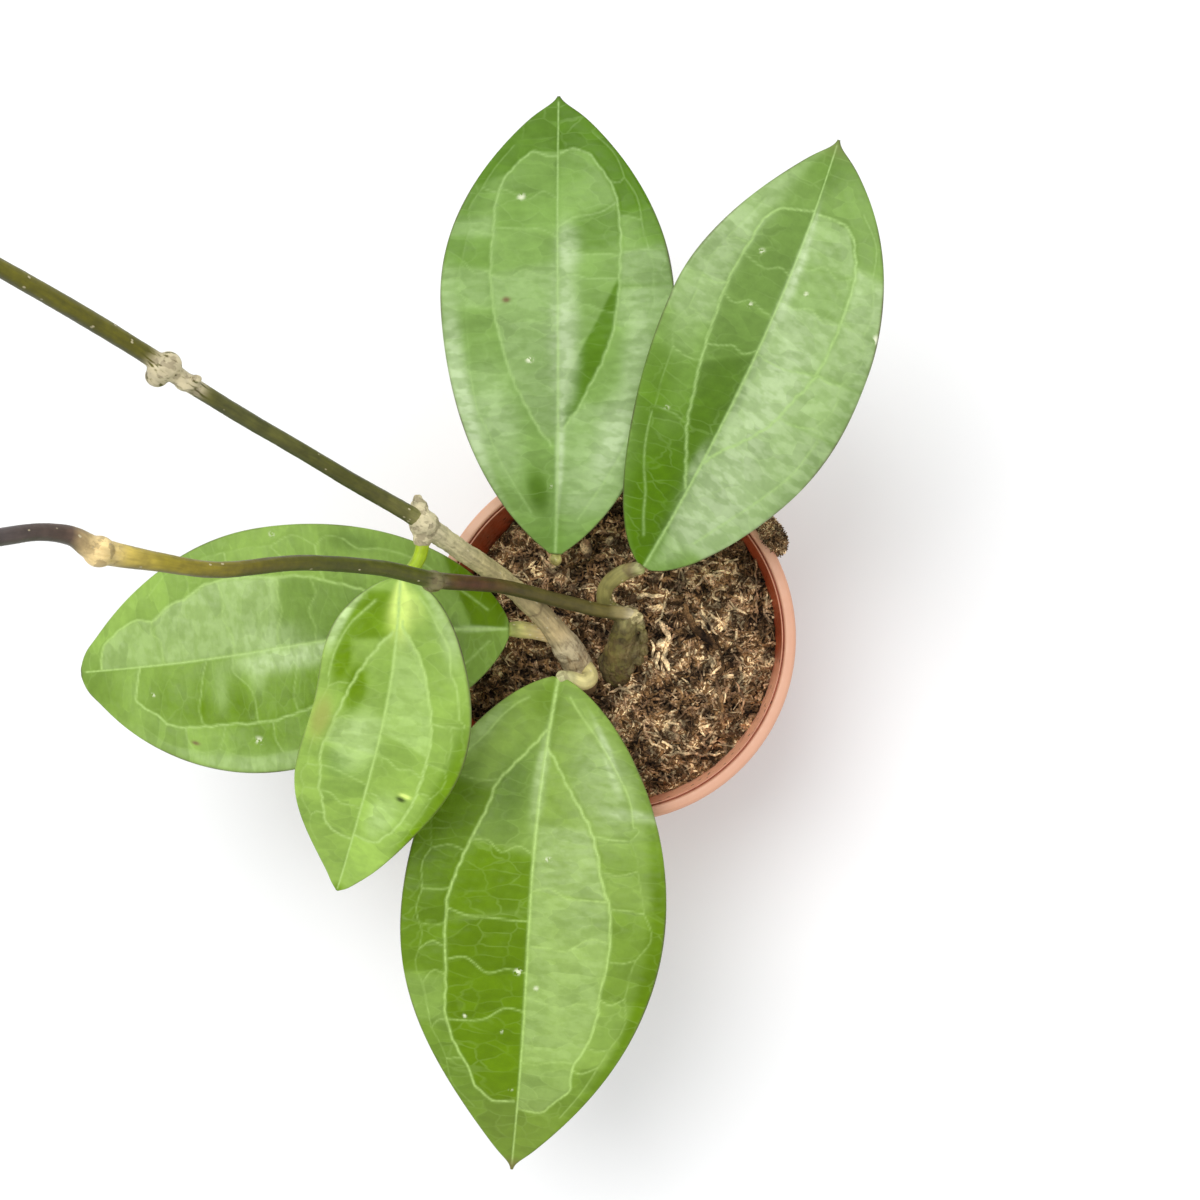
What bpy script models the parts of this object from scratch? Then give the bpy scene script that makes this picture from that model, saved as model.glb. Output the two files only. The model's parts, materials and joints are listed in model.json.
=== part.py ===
# A potted hoya: five thick leaves and two climbing vines in a 12 cm nursery pot.
# Units are metres. +Z is up, +X is the photograph's right and +Y is its top.
# The origin is the centre of the pot's underside.

import math
from dataclasses import dataclass

import bmesh
import bpy
import numpy as np
from mathutils import Matrix, Vector

MM = 0.001
GAP = 0.3 * MM              # clearance between pieces that touch

# Pot
RIM_RADIUS = 60.0 * MM
POT_HEIGHT = 100.0 * MM
WALL = 1.5 * MM
LIP_INNER_RADIUS = 55.9 * MM
LIP_THICKNESS = 1.6 * MM
LIP_ROUNDING = 0.8 * MM
SKIRT_DEPTH = 10.0 * MM     # the edge that hangs down outside the wall
SKIRT_THICKNESS = 1.3 * MM
BASE_RADIUS = 43.5 * MM
FOOT_CHAMFER = 1.0 * MM
FOOT_INNER_RADIUS = 37.2 * MM
CENTRE_DISC_RADIUS = 24.0 * MM
CHANNEL_RISE = 3.0 * MM     # the drained ring between the centre disc and the foot
CHANNEL_SLOPE = 1.4 * MM
DRAIN_HOLES = 8
DRAIN_RADIUS = 3.5 * MM
DRAIN_CIRCLE_RADIUS = 30.5 * MM
POT_STEPS = 48

# Potting mix
SOIL_LEVEL = 86.5 * MM      # at the middle of the mound
SOIL_RINGS = 7
SOIL_CROWN = 3.0 * MM       # how far the mound falls from its middle to the wall
SOIL_LUMP = 0.9 * MM
SUNK_SIDES = [(140.0, 42.0, 9.0 * MM), (-45.0, 40.0, 4.5 * MM)]    # heading, spread in degrees, depth
SOIL_STEPS = 36

# Leaf blades
BLADE_THICKNESS = 1.6 * MM
BLADE_ROWS = 22             # along the midrib
BLADE_COLUMNS = 12          # from edge to edge
BLADE_BASE_HALF_WIDTH = 2.2 * MM
BLADE_TIP_HALF_WIDTH = 0.5 * MM
SIDE_VEIN_SINK = 0.5        # the two long side veins lie in shallow grooves, in millimetres
SIDE_VEIN_PLACE = 0.5       # as a share of the half width
SIDE_VEIN_SPREAD = 0.1
SIDE_VEIN_START = 0.15      # as a share of the length

TUBE_UNIT = MM              # a curve's bevel depth, so that point radii read in millimetres
WOOD_SIDES = 3              # bevel resolution: ten sides
GREEN_SIDES = 2             # bevel resolution: eight sides
STEM_RING_SPACING = 2.4     # in radii
STALK_RING_SPACING = 1.3


@dataclass
class Blade:
    """One leaf blade in its own frame: the midrib runs from the origin along +X, and left is +Y."""
    base: tuple             # where the stalk meets the blade, in millimetres
    yaw: float              # heading of the midrib, in degrees from +X
    pitch: float            # how far the tip rises above the base, in degrees
    length: float
    left: float             # half widths, in millimetres
    right: float
    widest: float           # where the blade is widest, as a share of its length
    base_round: float       # lower values give a blunter end
    tip_round: float
    arch: float             # how far the midrib humps up, in millimetres
    bend: float             # how far the midrib bows to the right
    sway: float             # how far it then swings back, as an S
    fold_left: float        # how far each half folds up, in degrees
    fold_right: float
    curl: float             # how far the edges turn back down
    wave_left: tuple = (0.0, 0.0)    # share of the half width, and phase in turns
    wave_right: tuple = (0.0, 0.0)


BLADES = {
    "leaf_a": Blade(base=(-17.0, 26.0, 113.0), yaw=88.3, pitch=15.0, length=142.6, left=37.2, right=37.3,
                    widest=0.56, base_round=0.77, tip_round=0.98, arch=10.0, bend=1.2, sway=0.3,
                    fold_left=16.0, fold_right=14.0, curl=4.0, wave_left=(0.012, 0.1)),
    "leaf_b": Blade(base=(11.3, 21.8, 112.0), yaw=63.8, pitch=18.4, length=145.4, left=33.3, right=36.0,
                    widest=0.60, base_round=0.64, tip_round=1.03, arch=10.0, bend=5.1, sway=-0.3,
                    fold_left=26.0, fold_right=18.0, curl=4.0, wave_left=(0.015, 0.48),
                    wave_right=(0.048, -0.34)),
    "leaf_c": Blade(base=(-32.7, 2.4, 105.0), yaw=186.1, pitch=7.1, length=137.5, left=39.4, right=39.6,
                    widest=0.54, base_round=0.64, tip_round=0.77, arch=9.0, bend=1.0, sway=1.3,
                    fold_left=12.0, fold_right=14.0, curl=5.0, wave_left=(0.012, 0.3)),
    "leaf_d": Blade(base=(-61.1, 15.4, 148.0), yaw=255.7, pitch=-16.8, length=103.8, left=27.1, right=25.5,
                    widest=0.38, base_round=0.59, tip_round=0.92, arch=10.0, bend=-5.3, sway=-0.7,
                    fold_left=14.0, fold_right=22.0, curl=3.0, wave_left=(-0.06, 0.05),
                    wave_right=(0.105, 0.19)),
    "leaf_e": Blade(base=(-16.5, -13.3, 106.0), yaw=264.4, pitch=-2.2, length=157.9, left=44.0, right=41.8,
                    widest=0.47, base_round=0.68, tip_round=1.10, arch=12.0, bend=0.7, sway=1.0,
                    fold_left=12.0, fold_right=14.0, curl=5.0, wave_right=(0.012, 0.2)),
}

# Stems, vines and leaf stalks: route points and radii in millimetres, then round lumps on them
STEMS = {
    "stem_a_wood": dict(
        route=[(-8.5, -16.4, 60), (-8.6, -15.8, 74), (-8.6, -14.4, 86), (-9.6, -10.6, 94), (-13.3, -4.2, 101),
               (-19.8, 4.4, 109), (-28.0, 12.8, 117), (-36.5, 19.7, 126), (-45.3, 25.6, 136),
               (-53.6, 31.4, 146)],
        radii=[4.0, 4.3, 4.6, 5.0, 4.7, 3.6, 3.4, 3.3, 3.2, 3.3],
        lumps=[((-11.4, -8.8, 96.5), (4.4, 4.2, 4.2)), ((-14.6, -3.2, 101.5), (4.6, 4.8, 4.4)),
               ((-54.4, 31.9, 146.4), (4.7, 4.4, 4.6)), ((-55.8, 36.6, 146.8), (2.9, 3.4, 2.8)),
               ((-54.8, 27.4, 146.0), (2.9, 3.0, 2.9))]),
    "stem_b_wood": dict(
        route=[(2.6, -15.0, 60), (2.4, -14.6, 72), (1.6, -12.6, 83), (1.3, -9.0, 89), (3.0, -1.6, 94.5),
               (5.4, 5.2, 97.5), (7.4, 8.0, 99.0)],
        radii=[3.9, 4.2, 4.6, 5.2, 4.6, 4.0, 3.2],
        lumps=[((6.2, -2.4, 91.5), (3.6, 5.2, 4.2)), ((-1.6, -8.2, 88.0), (3.6, 4.4, 3.8)),
               ((5.4, 6.6, 98.0), (4.4, 3.6, 3.8))]),
    "vine_a": dict(
        route=[(-53.6, 31.4, 146), (-58.7, 34.9, 150), (-73.5, 43.0, 163), (-86.5, 50.5, 176),
               (-100.9, 58.6, 190), (-112.3, 64.9, 202), (-117.2, 68.0, 207), (-123.4, 71.1, 213),
               (-134.5, 79.2, 231), (-148.0, 86.3, 254), (-154.0, 88.8, 268), (-158.0, 89.6, 283),
               (-159.6, 89.2, 298), (-159.2, 88.2, 309)],
        radii=[2.9, 2.6, 2.3, 2.2, 2.2, 2.3, 2.6, 2.4, 2.4, 2.3, 2.0, 1.7, 1.3, 0.8],
        lumps=[((-117.0, 68.2, 207.6), (3.9, 4.2, 3.9)), ((-121.2, 66.2, 206.4), (3.2, 3.0, 3.0)),
               ((-112.2, 65.0, 203.2), (3.4, 2.4, 2.6)), ((-159.4, 90.0, 309.5), (1.3, 1.6, 6.5)),
               ((-158.6, 87.0, 308.5), (1.2, 1.4, 5.5))]),
    "vine_b": dict(
        route=[(6.4, 7.4, 99.6), (1.6, 7.8, 103.8), (-3.4, 8.2, 107.4), (-15.2, 10.5, 118), (-31.8, 13.4, 139),
               (-47.3, 12.6, 170), (-60.0, 14.3, 190), (-77.7, 13.5, 214), (-93.5, 9.4, 238),
               (-104.7, 9.9, 254), (-115.7, 11.4, 268), (-120.5, 14.3, 275), (-125.6, 14.4, 283),
               (-131.2, 12.0, 294), (-136.0, 8.7, 307), (-138.6, 5.0, 320), (-139.4, 1.2, 332),
               (-138.6, -1.8, 341)],
        radii=[2.9, 2.7, 2.4, 2.2, 2.1, 2.3, 2.1, 2.1, 2.1, 2.3, 3.0, 2.3, 2.1, 2.1, 1.9, 1.6, 1.2, 0.8],
        lumps=[((-47.9, 12.2, 170.6), (3.5, 3.3, 3.7)), ((-115.9, 11.2, 268.2), (4.0, 4.0, 4.4)),
               ((-139.4, -1.4, 342.0), (1.3, 1.5, 6.0)), ((-137.2, -3.2, 340.6), (1.2, 1.3, 5.0))]),
    "petiole_a": dict(
        route=[(-22.0, 36.4, 62), (-21.8, 35.4, 84), (-20.4, 31.4, 97), (-18.0, 26.4, 106.4),
               (-17.1, 24.2, 110.4), (-17.0, 25.4, 112.6)],
        radii=[2.5, 2.5, 2.5, 2.6, 2.7, 2.2],
        lumps=[]),
    "petiole_b": dict(
        route=[(3.4, 7.4, 96.6), (-0.8, 9.6, 98.2), (-2.2, 12.8, 101.2), (-0.6, 16.8, 105.2),
               (4.4, 20.0, 109.4), (10.9, 21.6, 111.8)],
        radii=[3.4, 3.2, 3.0, 2.9, 3.0, 2.4],
        lumps=[]),
    "petiole_c": dict(
        route=[(-16.0, -0.4, 104.6), (-20.0, 0.8, 103.8), (-25.0, 1.8, 103.4), (-29.4, 2.3, 103.8),
               (-32.6, 2.4, 104.8)],
        radii=[2.9, 2.8, 2.7, 2.8, 2.3],
        lumps=[]),
    "petiole_d": dict(
        route=[(-54.8, 28.0, 146), (-55.0, 24.6, 145.8), (-56.2, 20.6, 146.2), (-58.4, 17.4, 147.2),
               (-60.9, 15.6, 147.9)],
        radii=[2.0, 1.9, 1.8, 1.9, 1.9],
        lumps=[]),
    "petiole_e": dict(
        route=[(-10.4, -8.6, 94.6), (-6.6, -10.8, 97.4), (-5.6, -13.6, 99.8), (-8.2, -15.0, 102.0),
               (-12.4, -13.6, 103.9), (-16.4, -13.2, 105.6)],
        radii=[3.3, 3.1, 3.0, 2.9, 2.7, 2.2],
        lumps=[]),
}

# A tuft of potting mix that clings over the rim
CLUMP_CENTRE = (51.6, 33.6, 96.8)
CLUMP_RADII = (4.4, 7.8, 6.0)
CLUMP_ROUGHNESS = 0.16
CLUMP_SUBDIVISIONS = 2

# Colours are linear, with the roughness of each finish
FINISHES = {
    "pot": ((0.60, 0.19, 0.08), 0.45),
    "soil": ((0.090, 0.050, 0.026), 0.95),
    "coir_clump": ((0.110, 0.060, 0.030), 0.95),
    "stem_a_wood": ((0.32, 0.29, 0.19), 0.85),
    "stem_b_wood": ((0.13, 0.12, 0.05), 0.85),
    "vine_a": ((0.10, 0.13, 0.03), 0.55),
    "vine_b": ((0.12, 0.11, 0.04), 0.60),
    "petiole_a": ((0.36, 0.40, 0.16), 0.50),
    "petiole_b": ((0.34, 0.37, 0.17), 0.50),
    "petiole_c": ((0.40, 0.38, 0.17), 0.60),
    "petiole_d": ((0.36, 0.52, 0.05), 0.45),
    "petiole_e": ((0.45, 0.48, 0.17), 0.50),
    "leaf_a": ((0.16, 0.30, 0.06), 0.35),
    "leaf_b": ((0.17, 0.32, 0.08), 0.35),
    "leaf_c": ((0.18, 0.33, 0.09), 0.35),
    "leaf_d": ((0.22, 0.40, 0.08), 0.35),
    "leaf_e": ((0.16, 0.30, 0.05), 0.35),
}


def clear_scene():
    for obj in list(bpy.data.objects):
        bpy.data.objects.remove(obj, do_unlink=True)


def new_collection(name):
    collection = bpy.data.collections.new(name)
    bpy.context.scene.collection.children.link(collection)
    return collection


def add_object(name, data, collection, location=(0.0, 0.0, 0.0)):
    obj = bpy.data.objects.new(name, data)
    obj.location = location
    collection.objects.link(obj)
    return obj


def mesh_from(name, bm):
    mesh = bpy.data.meshes.new(name)
    bm.to_mesh(mesh)
    bm.free()
    return mesh


def evaluated_mesh(obj):
    bpy.context.view_layer.update()
    depsgraph = bpy.context.evaluated_depsgraph_get()
    return bpy.data.meshes.new_from_object(obj.evaluated_get(depsgraph))


def apply_modifiers(obj):
    mesh = evaluated_mesh(obj)
    obj.modifiers.clear()
    obj.data = mesh


def boolean(obj, other, operation):
    modifier = obj.modifiers.new(operation.lower(), "BOOLEAN")
    modifier.operation = operation
    modifier.object = other
    modifier.solver = "EXACT"


def mark_as_cutter(obj):
    obj.hide_render = True
    obj.display_type = "WIRE"


def drop_scraps(obj):
    """Keep only the largest connected body of a mesh, by its number of corners."""
    bm = bmesh.new()
    bm.from_mesh(obj.data)
    unseen = set(bm.verts)
    bodies = []
    while unseen:
        stack = [unseen.pop()]
        body = set(stack)
        while stack:
            for edge in stack.pop().link_edges:
                for vert in edge.verts:
                    if vert in unseen:
                        unseen.discard(vert)
                        body.add(vert)
                        stack.append(vert)
        bodies.append(body)
    bodies.sort(key=len)
    for body in bodies[:-1]:
        bmesh.ops.delete(bm, geom=list(body), context="VERTS")
    bm.to_mesh(obj.data)
    bm.free()


# Pot and potting mix

def offset_profile(points, distance):
    """Move a profile of (radius, height) points to its left by a distance, with mitred corners."""
    points = [Vector(point) for point in points]
    headings = [(b - a).normalized() for a, b in zip(points, points[1:])]
    normals = [Vector((-heading.y, heading.x)) for heading in headings]
    moved = [points[0] + normals[0] * distance]
    for point, before, after in zip(points[1:-1], normals, normals[1:]):
        moved.append(point + (before + after) * (distance / (1.0 + before.dot(after))))
    moved.append(points[-1] + normals[-1] * distance)
    return [(point.x, point.y) for point in moved]


def wall_outer_radius(height):
    top = POT_HEIGHT - LIP_THICKNESS
    share = (height - FOOT_CHAMFER) / (top - FOOT_CHAMFER)
    return BASE_RADIUS + share * (LIP_INNER_RADIUS + WALL - BASE_RADIUS)


def underside_profile():
    """The pot's underside from the axis outwards, then up the outside of the wall."""
    wall_top = POT_HEIGHT - LIP_THICKNESS
    return [
        (0.0, 0.0),
        (CENTRE_DISC_RADIUS, 0.0),
        (CENTRE_DISC_RADIUS + CHANNEL_SLOPE, CHANNEL_RISE),
        (FOOT_INNER_RADIUS - CHANNEL_SLOPE, CHANNEL_RISE),
        (FOOT_INNER_RADIUS, 0.0),
        (BASE_RADIUS - FOOT_CHAMFER, 0.0),
        (BASE_RADIUS, FOOT_CHAMFER),
        (wall_outer_radius(wall_top), wall_top),
    ]


def lip_profile():
    """The rim from the inside of its top, over the lip and down the skirt, to under the lip."""
    points = [(LIP_INNER_RADIUS, POT_HEIGHT - LIP_ROUNDING)]
    inner_centre = LIP_INNER_RADIUS + LIP_ROUNDING
    outer_centre = RIM_RADIUS - LIP_ROUNDING
    height = POT_HEIGHT - LIP_ROUNDING
    for turn in (45.0, 90.0):
        angle = math.radians(180.0 - turn)
        points.append((inner_centre + LIP_ROUNDING * math.cos(angle), height + LIP_ROUNDING * math.sin(angle)))
    for turn in (90.0, 45.0, 0.0):
        angle = math.radians(turn)
        points.append((outer_centre + LIP_ROUNDING * math.cos(angle), height + LIP_ROUNDING * math.sin(angle)))
    skirt_bottom = POT_HEIGHT - SKIRT_DEPTH
    points.append((RIM_RADIUS, skirt_bottom))
    points.append((RIM_RADIUS - SKIRT_THICKNESS, skirt_bottom))
    points.append((RIM_RADIUS - SKIRT_THICKNESS, POT_HEIGHT - LIP_THICKNESS))
    return points


def turned(name, profile, steps, collection):
    """Turn a profile of (radius, height) points round the Z axis; it runs down its outer side."""
    bm = bmesh.new()
    verts = [bm.verts.new((radius, 0.0, height)) for radius, height in profile]
    for a, b in zip(verts, verts[1:]):
        bm.edges.new((a, b))
    obj = add_object(name, mesh_from(name, bm), collection)
    screw = obj.modifiers.new("turn", "SCREW")
    screw.axis = "Z"
    screw.angle = math.tau
    screw.steps = steps
    screw.render_steps = steps
    screw.use_merge_vertices = True
    screw.merge_threshold = 0.01 * MM
    return obj


def make_drain_cutter(collection):
    bm = bmesh.new()
    for index in range(DRAIN_HOLES):
        angle = math.tau * (index + 0.5) / DRAIN_HOLES
        place = Matrix.Translation((DRAIN_CIRCLE_RADIUS * math.cos(angle),
                                    DRAIN_CIRCLE_RADIUS * math.sin(angle), CHANNEL_RISE))
        bmesh.ops.create_cone(bm, cap_ends=True, segments=16, radius1=DRAIN_RADIUS, radius2=DRAIN_RADIUS,
                              depth=4.0 * WALL, matrix=place)
    cutter = add_object("drain_cutter", mesh_from("drain_cutter", bm), collection)
    mark_as_cutter(cutter)
    return cutter


def make_pot(parts, cutters):
    outside = underside_profile()
    inside = offset_profile(outside, WALL)
    inside[0] = (0.0, WALL)
    profile = inside[:-1] + lip_profile() + outside[::-1]
    pot = turned("pot", profile, POT_STEPS, parts)
    boolean(pot, make_drain_cutter(cutters), "DIFFERENCE")
    return pot


def soil_height(x, y):
    """Height of the potting mix: a low mound that has sunk at the upper left and lower right wall."""
    reach = min(math.hypot(x, y) / LIP_INNER_RADIUS, 1.0)
    angle = math.degrees(math.atan2(y, x))
    height = SOIL_LEVEL - SOIL_CROWN * reach ** 2
    for heading, spread, depth in SUNK_SIDES:
        height -= depth * math.exp(-((angle - heading) / spread) ** 2) * reach ** 5
    lumps = math.sin(310.0 * x + 1.3) * math.cos(270.0 * y + 0.4) + 0.5 * math.sin(520.0 * (x - y) + 2.0)
    return height + SOIL_LUMP * lumps


def make_soil(parts, holes):
    """Turn the filling from the inside of the pot, then raise its top by formula."""
    floor = offset_profile(underside_profile(), WALL + GAP)
    floor[0] = (0.0, WALL + GAP)
    slope = (floor[-1][0] - floor[-2][0]) / (floor[-1][1] - floor[-2][1])

    def side_radius(height):
        return floor[-2][0] + slope * (height - floor[-2][1])

    edge_radius = side_radius(SOIL_LEVEL)
    rings = [(edge_radius * index / SOIL_RINGS, SOIL_LEVEL) for index in range(SOIL_RINGS + 1)]
    soil = turned("soil", rings + floor[:-1][::-1], SOIL_STEPS, parts)
    apply_modifiers(soil)
    for vert in soil.data.vertices:
        if vert.co.z < SOIL_LEVEL - 0.01 * MM:
            continue
        radius = math.hypot(vert.co.x, vert.co.y)
        height = soil_height(vert.co.x, vert.co.y)
        if radius > edge_radius - 0.01 * MM:
            shrink = side_radius(height) / radius
            vert.co.x *= shrink
            vert.co.y *= shrink
        vert.co.z = height
    for hole in holes:
        boolean(soil, hole, "DIFFERENCE")
    return soil


# Stems, vines and leaf stalks

def smooth_route(route, radii, spacing):
    """Points and radii read off a Catmull-Rom curve through a route's own points."""
    knots = np.column_stack([np.array(route, float), np.array(radii, float)])
    padded = np.vstack([2.0 * knots[0] - knots[1], knots, 2.0 * knots[-1] - knots[-2]])
    samples = []
    for index in range(len(knots) - 1):
        a, b, c, d = padded[index:index + 4]
        count = max(1, round(float(np.linalg.norm((c - b)[:3])) / spacing))
        for step in range(count):
            t = step / count
            samples.append(0.5 * (2.0 * b + (c - a) * t + (2.0 * a - 5.0 * b + 4.0 * c - d) * t ** 2
                                  + (3.0 * b - a - 3.0 * c + d) * t ** 3))
    samples.append(knots[-1])
    return samples


def make_tube(name, route, radii, spacing, bevel_resolution, collection, grow):
    """A tapered tube along a route in millimetres; grow thickens it and lengthens its first end."""
    samples = smooth_route(route, radii, spacing)
    start = Vector(samples[0][:3])
    backward = (samples[0] - samples[1])[:3]
    samples[0][:3] += backward * grow / np.linalg.norm(backward)
    curve = bpy.data.curves.new(name, "CURVE")
    curve.dimensions = "3D"
    curve.bevel_depth = TUBE_UNIT
    curve.bevel_resolution = bevel_resolution
    curve.use_fill_caps = True
    spline = curve.splines.new("POLY")
    spline.points.add(len(samples) - 1)
    for point, (x, y, z, radius) in zip(spline.points, samples):
        point.co = (*((Vector((x, y, z)) - start) * MM), 1.0)
        point.radius = radius + grow
    curve_object = add_object(name + "_curve", curve, collection, start * MM)
    tube = add_object(name, evaluated_mesh(curve_object), collection, start * MM)
    bpy.data.objects.remove(curve_object, do_unlink=True)
    bm = bmesh.new()
    bm.from_mesh(tube.data)
    bmesh.ops.remove_doubles(bm, verts=bm.verts, dist=0.001 * MM)
    bmesh.ops.recalc_face_normals(bm, faces=bm.faces)
    bm.to_mesh(tube.data)
    bm.free()
    return tube


def make_lump(centre, radii, collection, grow):
    bm = bmesh.new()
    scale = Matrix.Diagonal([(radius + grow) * MM for radius in radii]).to_4x4()
    bmesh.ops.create_icosphere(bm, subdivisions=2, radius=1.0, matrix=scale)
    return add_object("lump", mesh_from("lump", bm), collection, Vector(centre) * MM)


def make_stem(name, collection, grow=0.0):
    """A stem with its lumps joined to it; grow, in millimetres, gives a slightly thicker copy."""
    shape = STEMS[name]
    sides = WOOD_SIDES if name.endswith("wood") else GREEN_SIDES
    spacing = max(shape["radii"]) * (STALK_RING_SPACING if name.startswith("petiole") else STEM_RING_SPACING)
    stem = make_tube(name, shape["route"], shape["radii"], spacing, sides, collection, grow)
    for centre, radii in shape["lumps"]:
        lump = make_lump(centre, radii, collection, grow)
        boolean(stem, lump, "UNION")
        apply_modifiers(stem)
        bpy.data.objects.remove(lump, do_unlink=True)
    return stem


# Leaf blades

def blade_half_width(blade, along, side):
    """Half width in millimetres at a share of the length, on the left (side -1) or right (side +1)."""
    toward_tip = along >= blade.widest
    reach = (1.0 - along) / (1.0 - blade.widest) if toward_tip else along / blade.widest
    rounding = blade.tip_round if toward_tip else blade.base_round
    shape = max(reach * (2.0 - reach), 0.0) ** rounding
    amount, phase = blade.wave_left if side < 0 else blade.wave_right
    wave = 1.0 + amount * math.sin(math.tau * (1.5 * along + phase))
    widest = blade.left if side < 0 else blade.right
    least = (BLADE_BASE_HALF_WIDTH * (1.0 - along) + BLADE_TIP_HALF_WIDTH * along) / MM
    return math.hypot(widest * shape * wave, least), shape


def midrib_point(blade, along):
    hump = 4.0 * along * (1.0 - along)
    across = -blade.bend * hump - blade.sway * math.sin(math.tau * along)
    return Vector((blade.length * along, across, blade.arch * hump))


def blade_point(blade, along, across, grow):
    """A point of the blade's middle surface; across runs from -1 at the left edge to +1 at the right."""
    side = -1.0 if across < 0.0 else 1.0
    half_width, shape = blade_half_width(blade, along, side)
    step = 0.001
    heading = (midrib_point(blade, along + step) - midrib_point(blade, along - step)).normalized()
    right = heading.cross(Vector((0.0, 0.0, 1.0))).normalized()
    up = right.cross(heading)
    fold = math.radians(blade.fold_left if side < 0 else blade.fold_right)
    distance = abs(across) * (half_width + grow)
    groove = math.exp(-((abs(across) - SIDE_VEIN_PLACE) / SIDE_VEIN_SPREAD) ** 2)
    fade = min(max(5.0 * (along - SIDE_VEIN_START), 0.0), max(4.0 * (1.0 - along), 0.0), 1.0)
    rise = distance * math.sin(fold) - blade.curl * across ** 2 * shape - SIDE_VEIN_SINK * groove * fade
    return midrib_point(blade, along) + right * (side * distance * math.cos(fold)) + up * rise


def make_blade(name, collection, grow=0.0):
    """A blade as a thin curved sheet; grow, in millimetres, gives a slightly larger copy."""
    blade = BLADES[name]
    bm = bmesh.new()
    bmesh.ops.create_grid(bm, x_segments=BLADE_ROWS, y_segments=BLADE_COLUMNS, size=1.0)
    overrun = grow / blade.length
    for vert in bm.verts:
        along = 0.5 - 0.5 * math.cos(math.pi * 0.5 * (vert.co.x + 1.0))
        along = along * (1.0 + 2.0 * overrun) - overrun
        vert.co = blade_point(blade, along, -vert.co.y, grow) * MM
    bmesh.ops.triangulate(bm, faces=bm.faces)
    obj = add_object(name, mesh_from(name, bm), collection, Vector(blade.base) * MM)
    obj.rotation_euler = (0.0, -math.radians(blade.pitch), math.radians(blade.yaw))
    solidify = obj.modifiers.new("thickness", "SOLIDIFY")
    solidify.thickness = BLADE_THICKNESS + 2.0 * grow * MM
    solidify.offset = 0.0
    return obj


# The tuft of potting mix on the rim

def make_clump(parts, cutters):
    bm = bmesh.new()
    bmesh.ops.create_icosphere(bm, subdivisions=CLUMP_SUBDIVISIONS, radius=1.0)
    for vert in bm.verts:
        x, y, z = vert.co
        lumps = math.sin(5.0 * x + 1.0) * math.cos(4.0 * y) + 0.6 * math.sin(9.0 * z + 3.0 * x)
        vert.co = Vector((x * CLUMP_RADII[0], y * CLUMP_RADII[1], z * CLUMP_RADII[2])) * MM
        vert.co *= 1.0 + CLUMP_ROUGHNESS * lumps
    clump = add_object("coir_clump", mesh_from("coir_clump", bm), parts, Vector(CLUMP_CENTRE) * MM)
    clump.rotation_euler.z = math.atan2(CLUMP_CENTRE[1], CLUMP_CENTRE[0])
    bm = bmesh.new()
    depth = 2.0 * SKIRT_DEPTH
    place = Matrix.Translation((0.0, 0.0, POT_HEIGHT + GAP - depth / 2.0))
    bmesh.ops.create_cone(bm, cap_ends=True, segments=120, radius1=RIM_RADIUS + GAP, radius2=RIM_RADIUS + GAP,
                          depth=depth, matrix=place)
    rim_cutter = add_object("rim_cutter", mesh_from("rim_cutter", bm), cutters)
    mark_as_cutter(rim_cutter)
    boolean(clump, rim_cutter, "DIFFERENCE")
    return clump


# Assembly

CUTS = {
    "vine_a": ["stem_a_wood"],
    "vine_b": ["stem_b_wood"],
    "petiole_a": ["leaf_a"],
    "petiole_b": ["stem_b_wood", "vine_b", "leaf_b"],
    "petiole_c": ["stem_a_wood", "leaf_c"],
    "petiole_d": ["stem_a_wood", "vine_a", "leaf_d"],
    "petiole_e": ["stem_a_wood", "leaf_e"],
}
IN_SOIL = ["stem_a_wood", "stem_b_wood", "petiole_a"]


def make_plant(parts, cutters):
    """Every stem, stalk and blade; returns the slightly larger copies that cut their neighbours."""
    needed = {name for names in CUTS.values() for name in names} | set(IN_SOIL)
    larger = {}
    for name in sorted(needed):
        make = make_blade if name in BLADES else make_stem
        larger[name] = make(name, cutters, GAP / MM)
        larger[name].name = name + "_cutter"
        mark_as_cutter(larger[name])
    for name in STEMS:
        stem = make_stem(name, parts)
        for other in CUTS.get(name, []):
            boolean(stem, larger[other], "DIFFERENCE")
        if name in CUTS:
            apply_modifiers(stem)
            drop_scraps(stem)
    for name in BLADES:
        make_blade(name, parts)
    return larger


def add_finish(obj):
    colour, roughness = FINISHES[obj.name]
    material = bpy.data.materials.new(obj.name)
    material.use_nodes = True
    shader = material.node_tree.nodes["Principled BSDF"]
    shader.inputs["Base Color"].default_value = (*colour, 1.0)
    shader.inputs["Roughness"].default_value = roughness
    shader.inputs["Metallic"].default_value = 0.0
    obj.data.materials.clear()
    obj.data.materials.append(material)
    obj.data.shade_smooth()
    obj.data.set_sharp_from_angle(angle=math.radians(40.0))


def main():
    clear_scene()
    parts = new_collection("potted_hoya")
    cutters = new_collection("cutters")
    larger = make_plant(parts, cutters)
    make_pot(parts, cutters)
    make_soil(parts, [larger[name] for name in IN_SOIL])
    make_clump(parts, cutters)
    plant = bpy.data.objects.new("potted_hoya", None)
    parts.objects.link(plant)
    for obj in parts.objects:
        if obj.type == "MESH":
            add_finish(obj)
            obj.parent = plant


main()
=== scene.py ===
# Looks of a potted hoya: waxy veined leaves, corky vines and coir potting mix in a nursery pot.
# Units are metres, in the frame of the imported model: +Z is up and the pot stands on Z = 0.
# Routes, leaf shapes and small reliefs are written in millimetres.

import json
import math
from dataclasses import dataclass, field

import bmesh
import bpy
import numpy as np
from mathutils import Euler, Matrix, Vector
from mathutils.kdtree import KDTree

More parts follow.
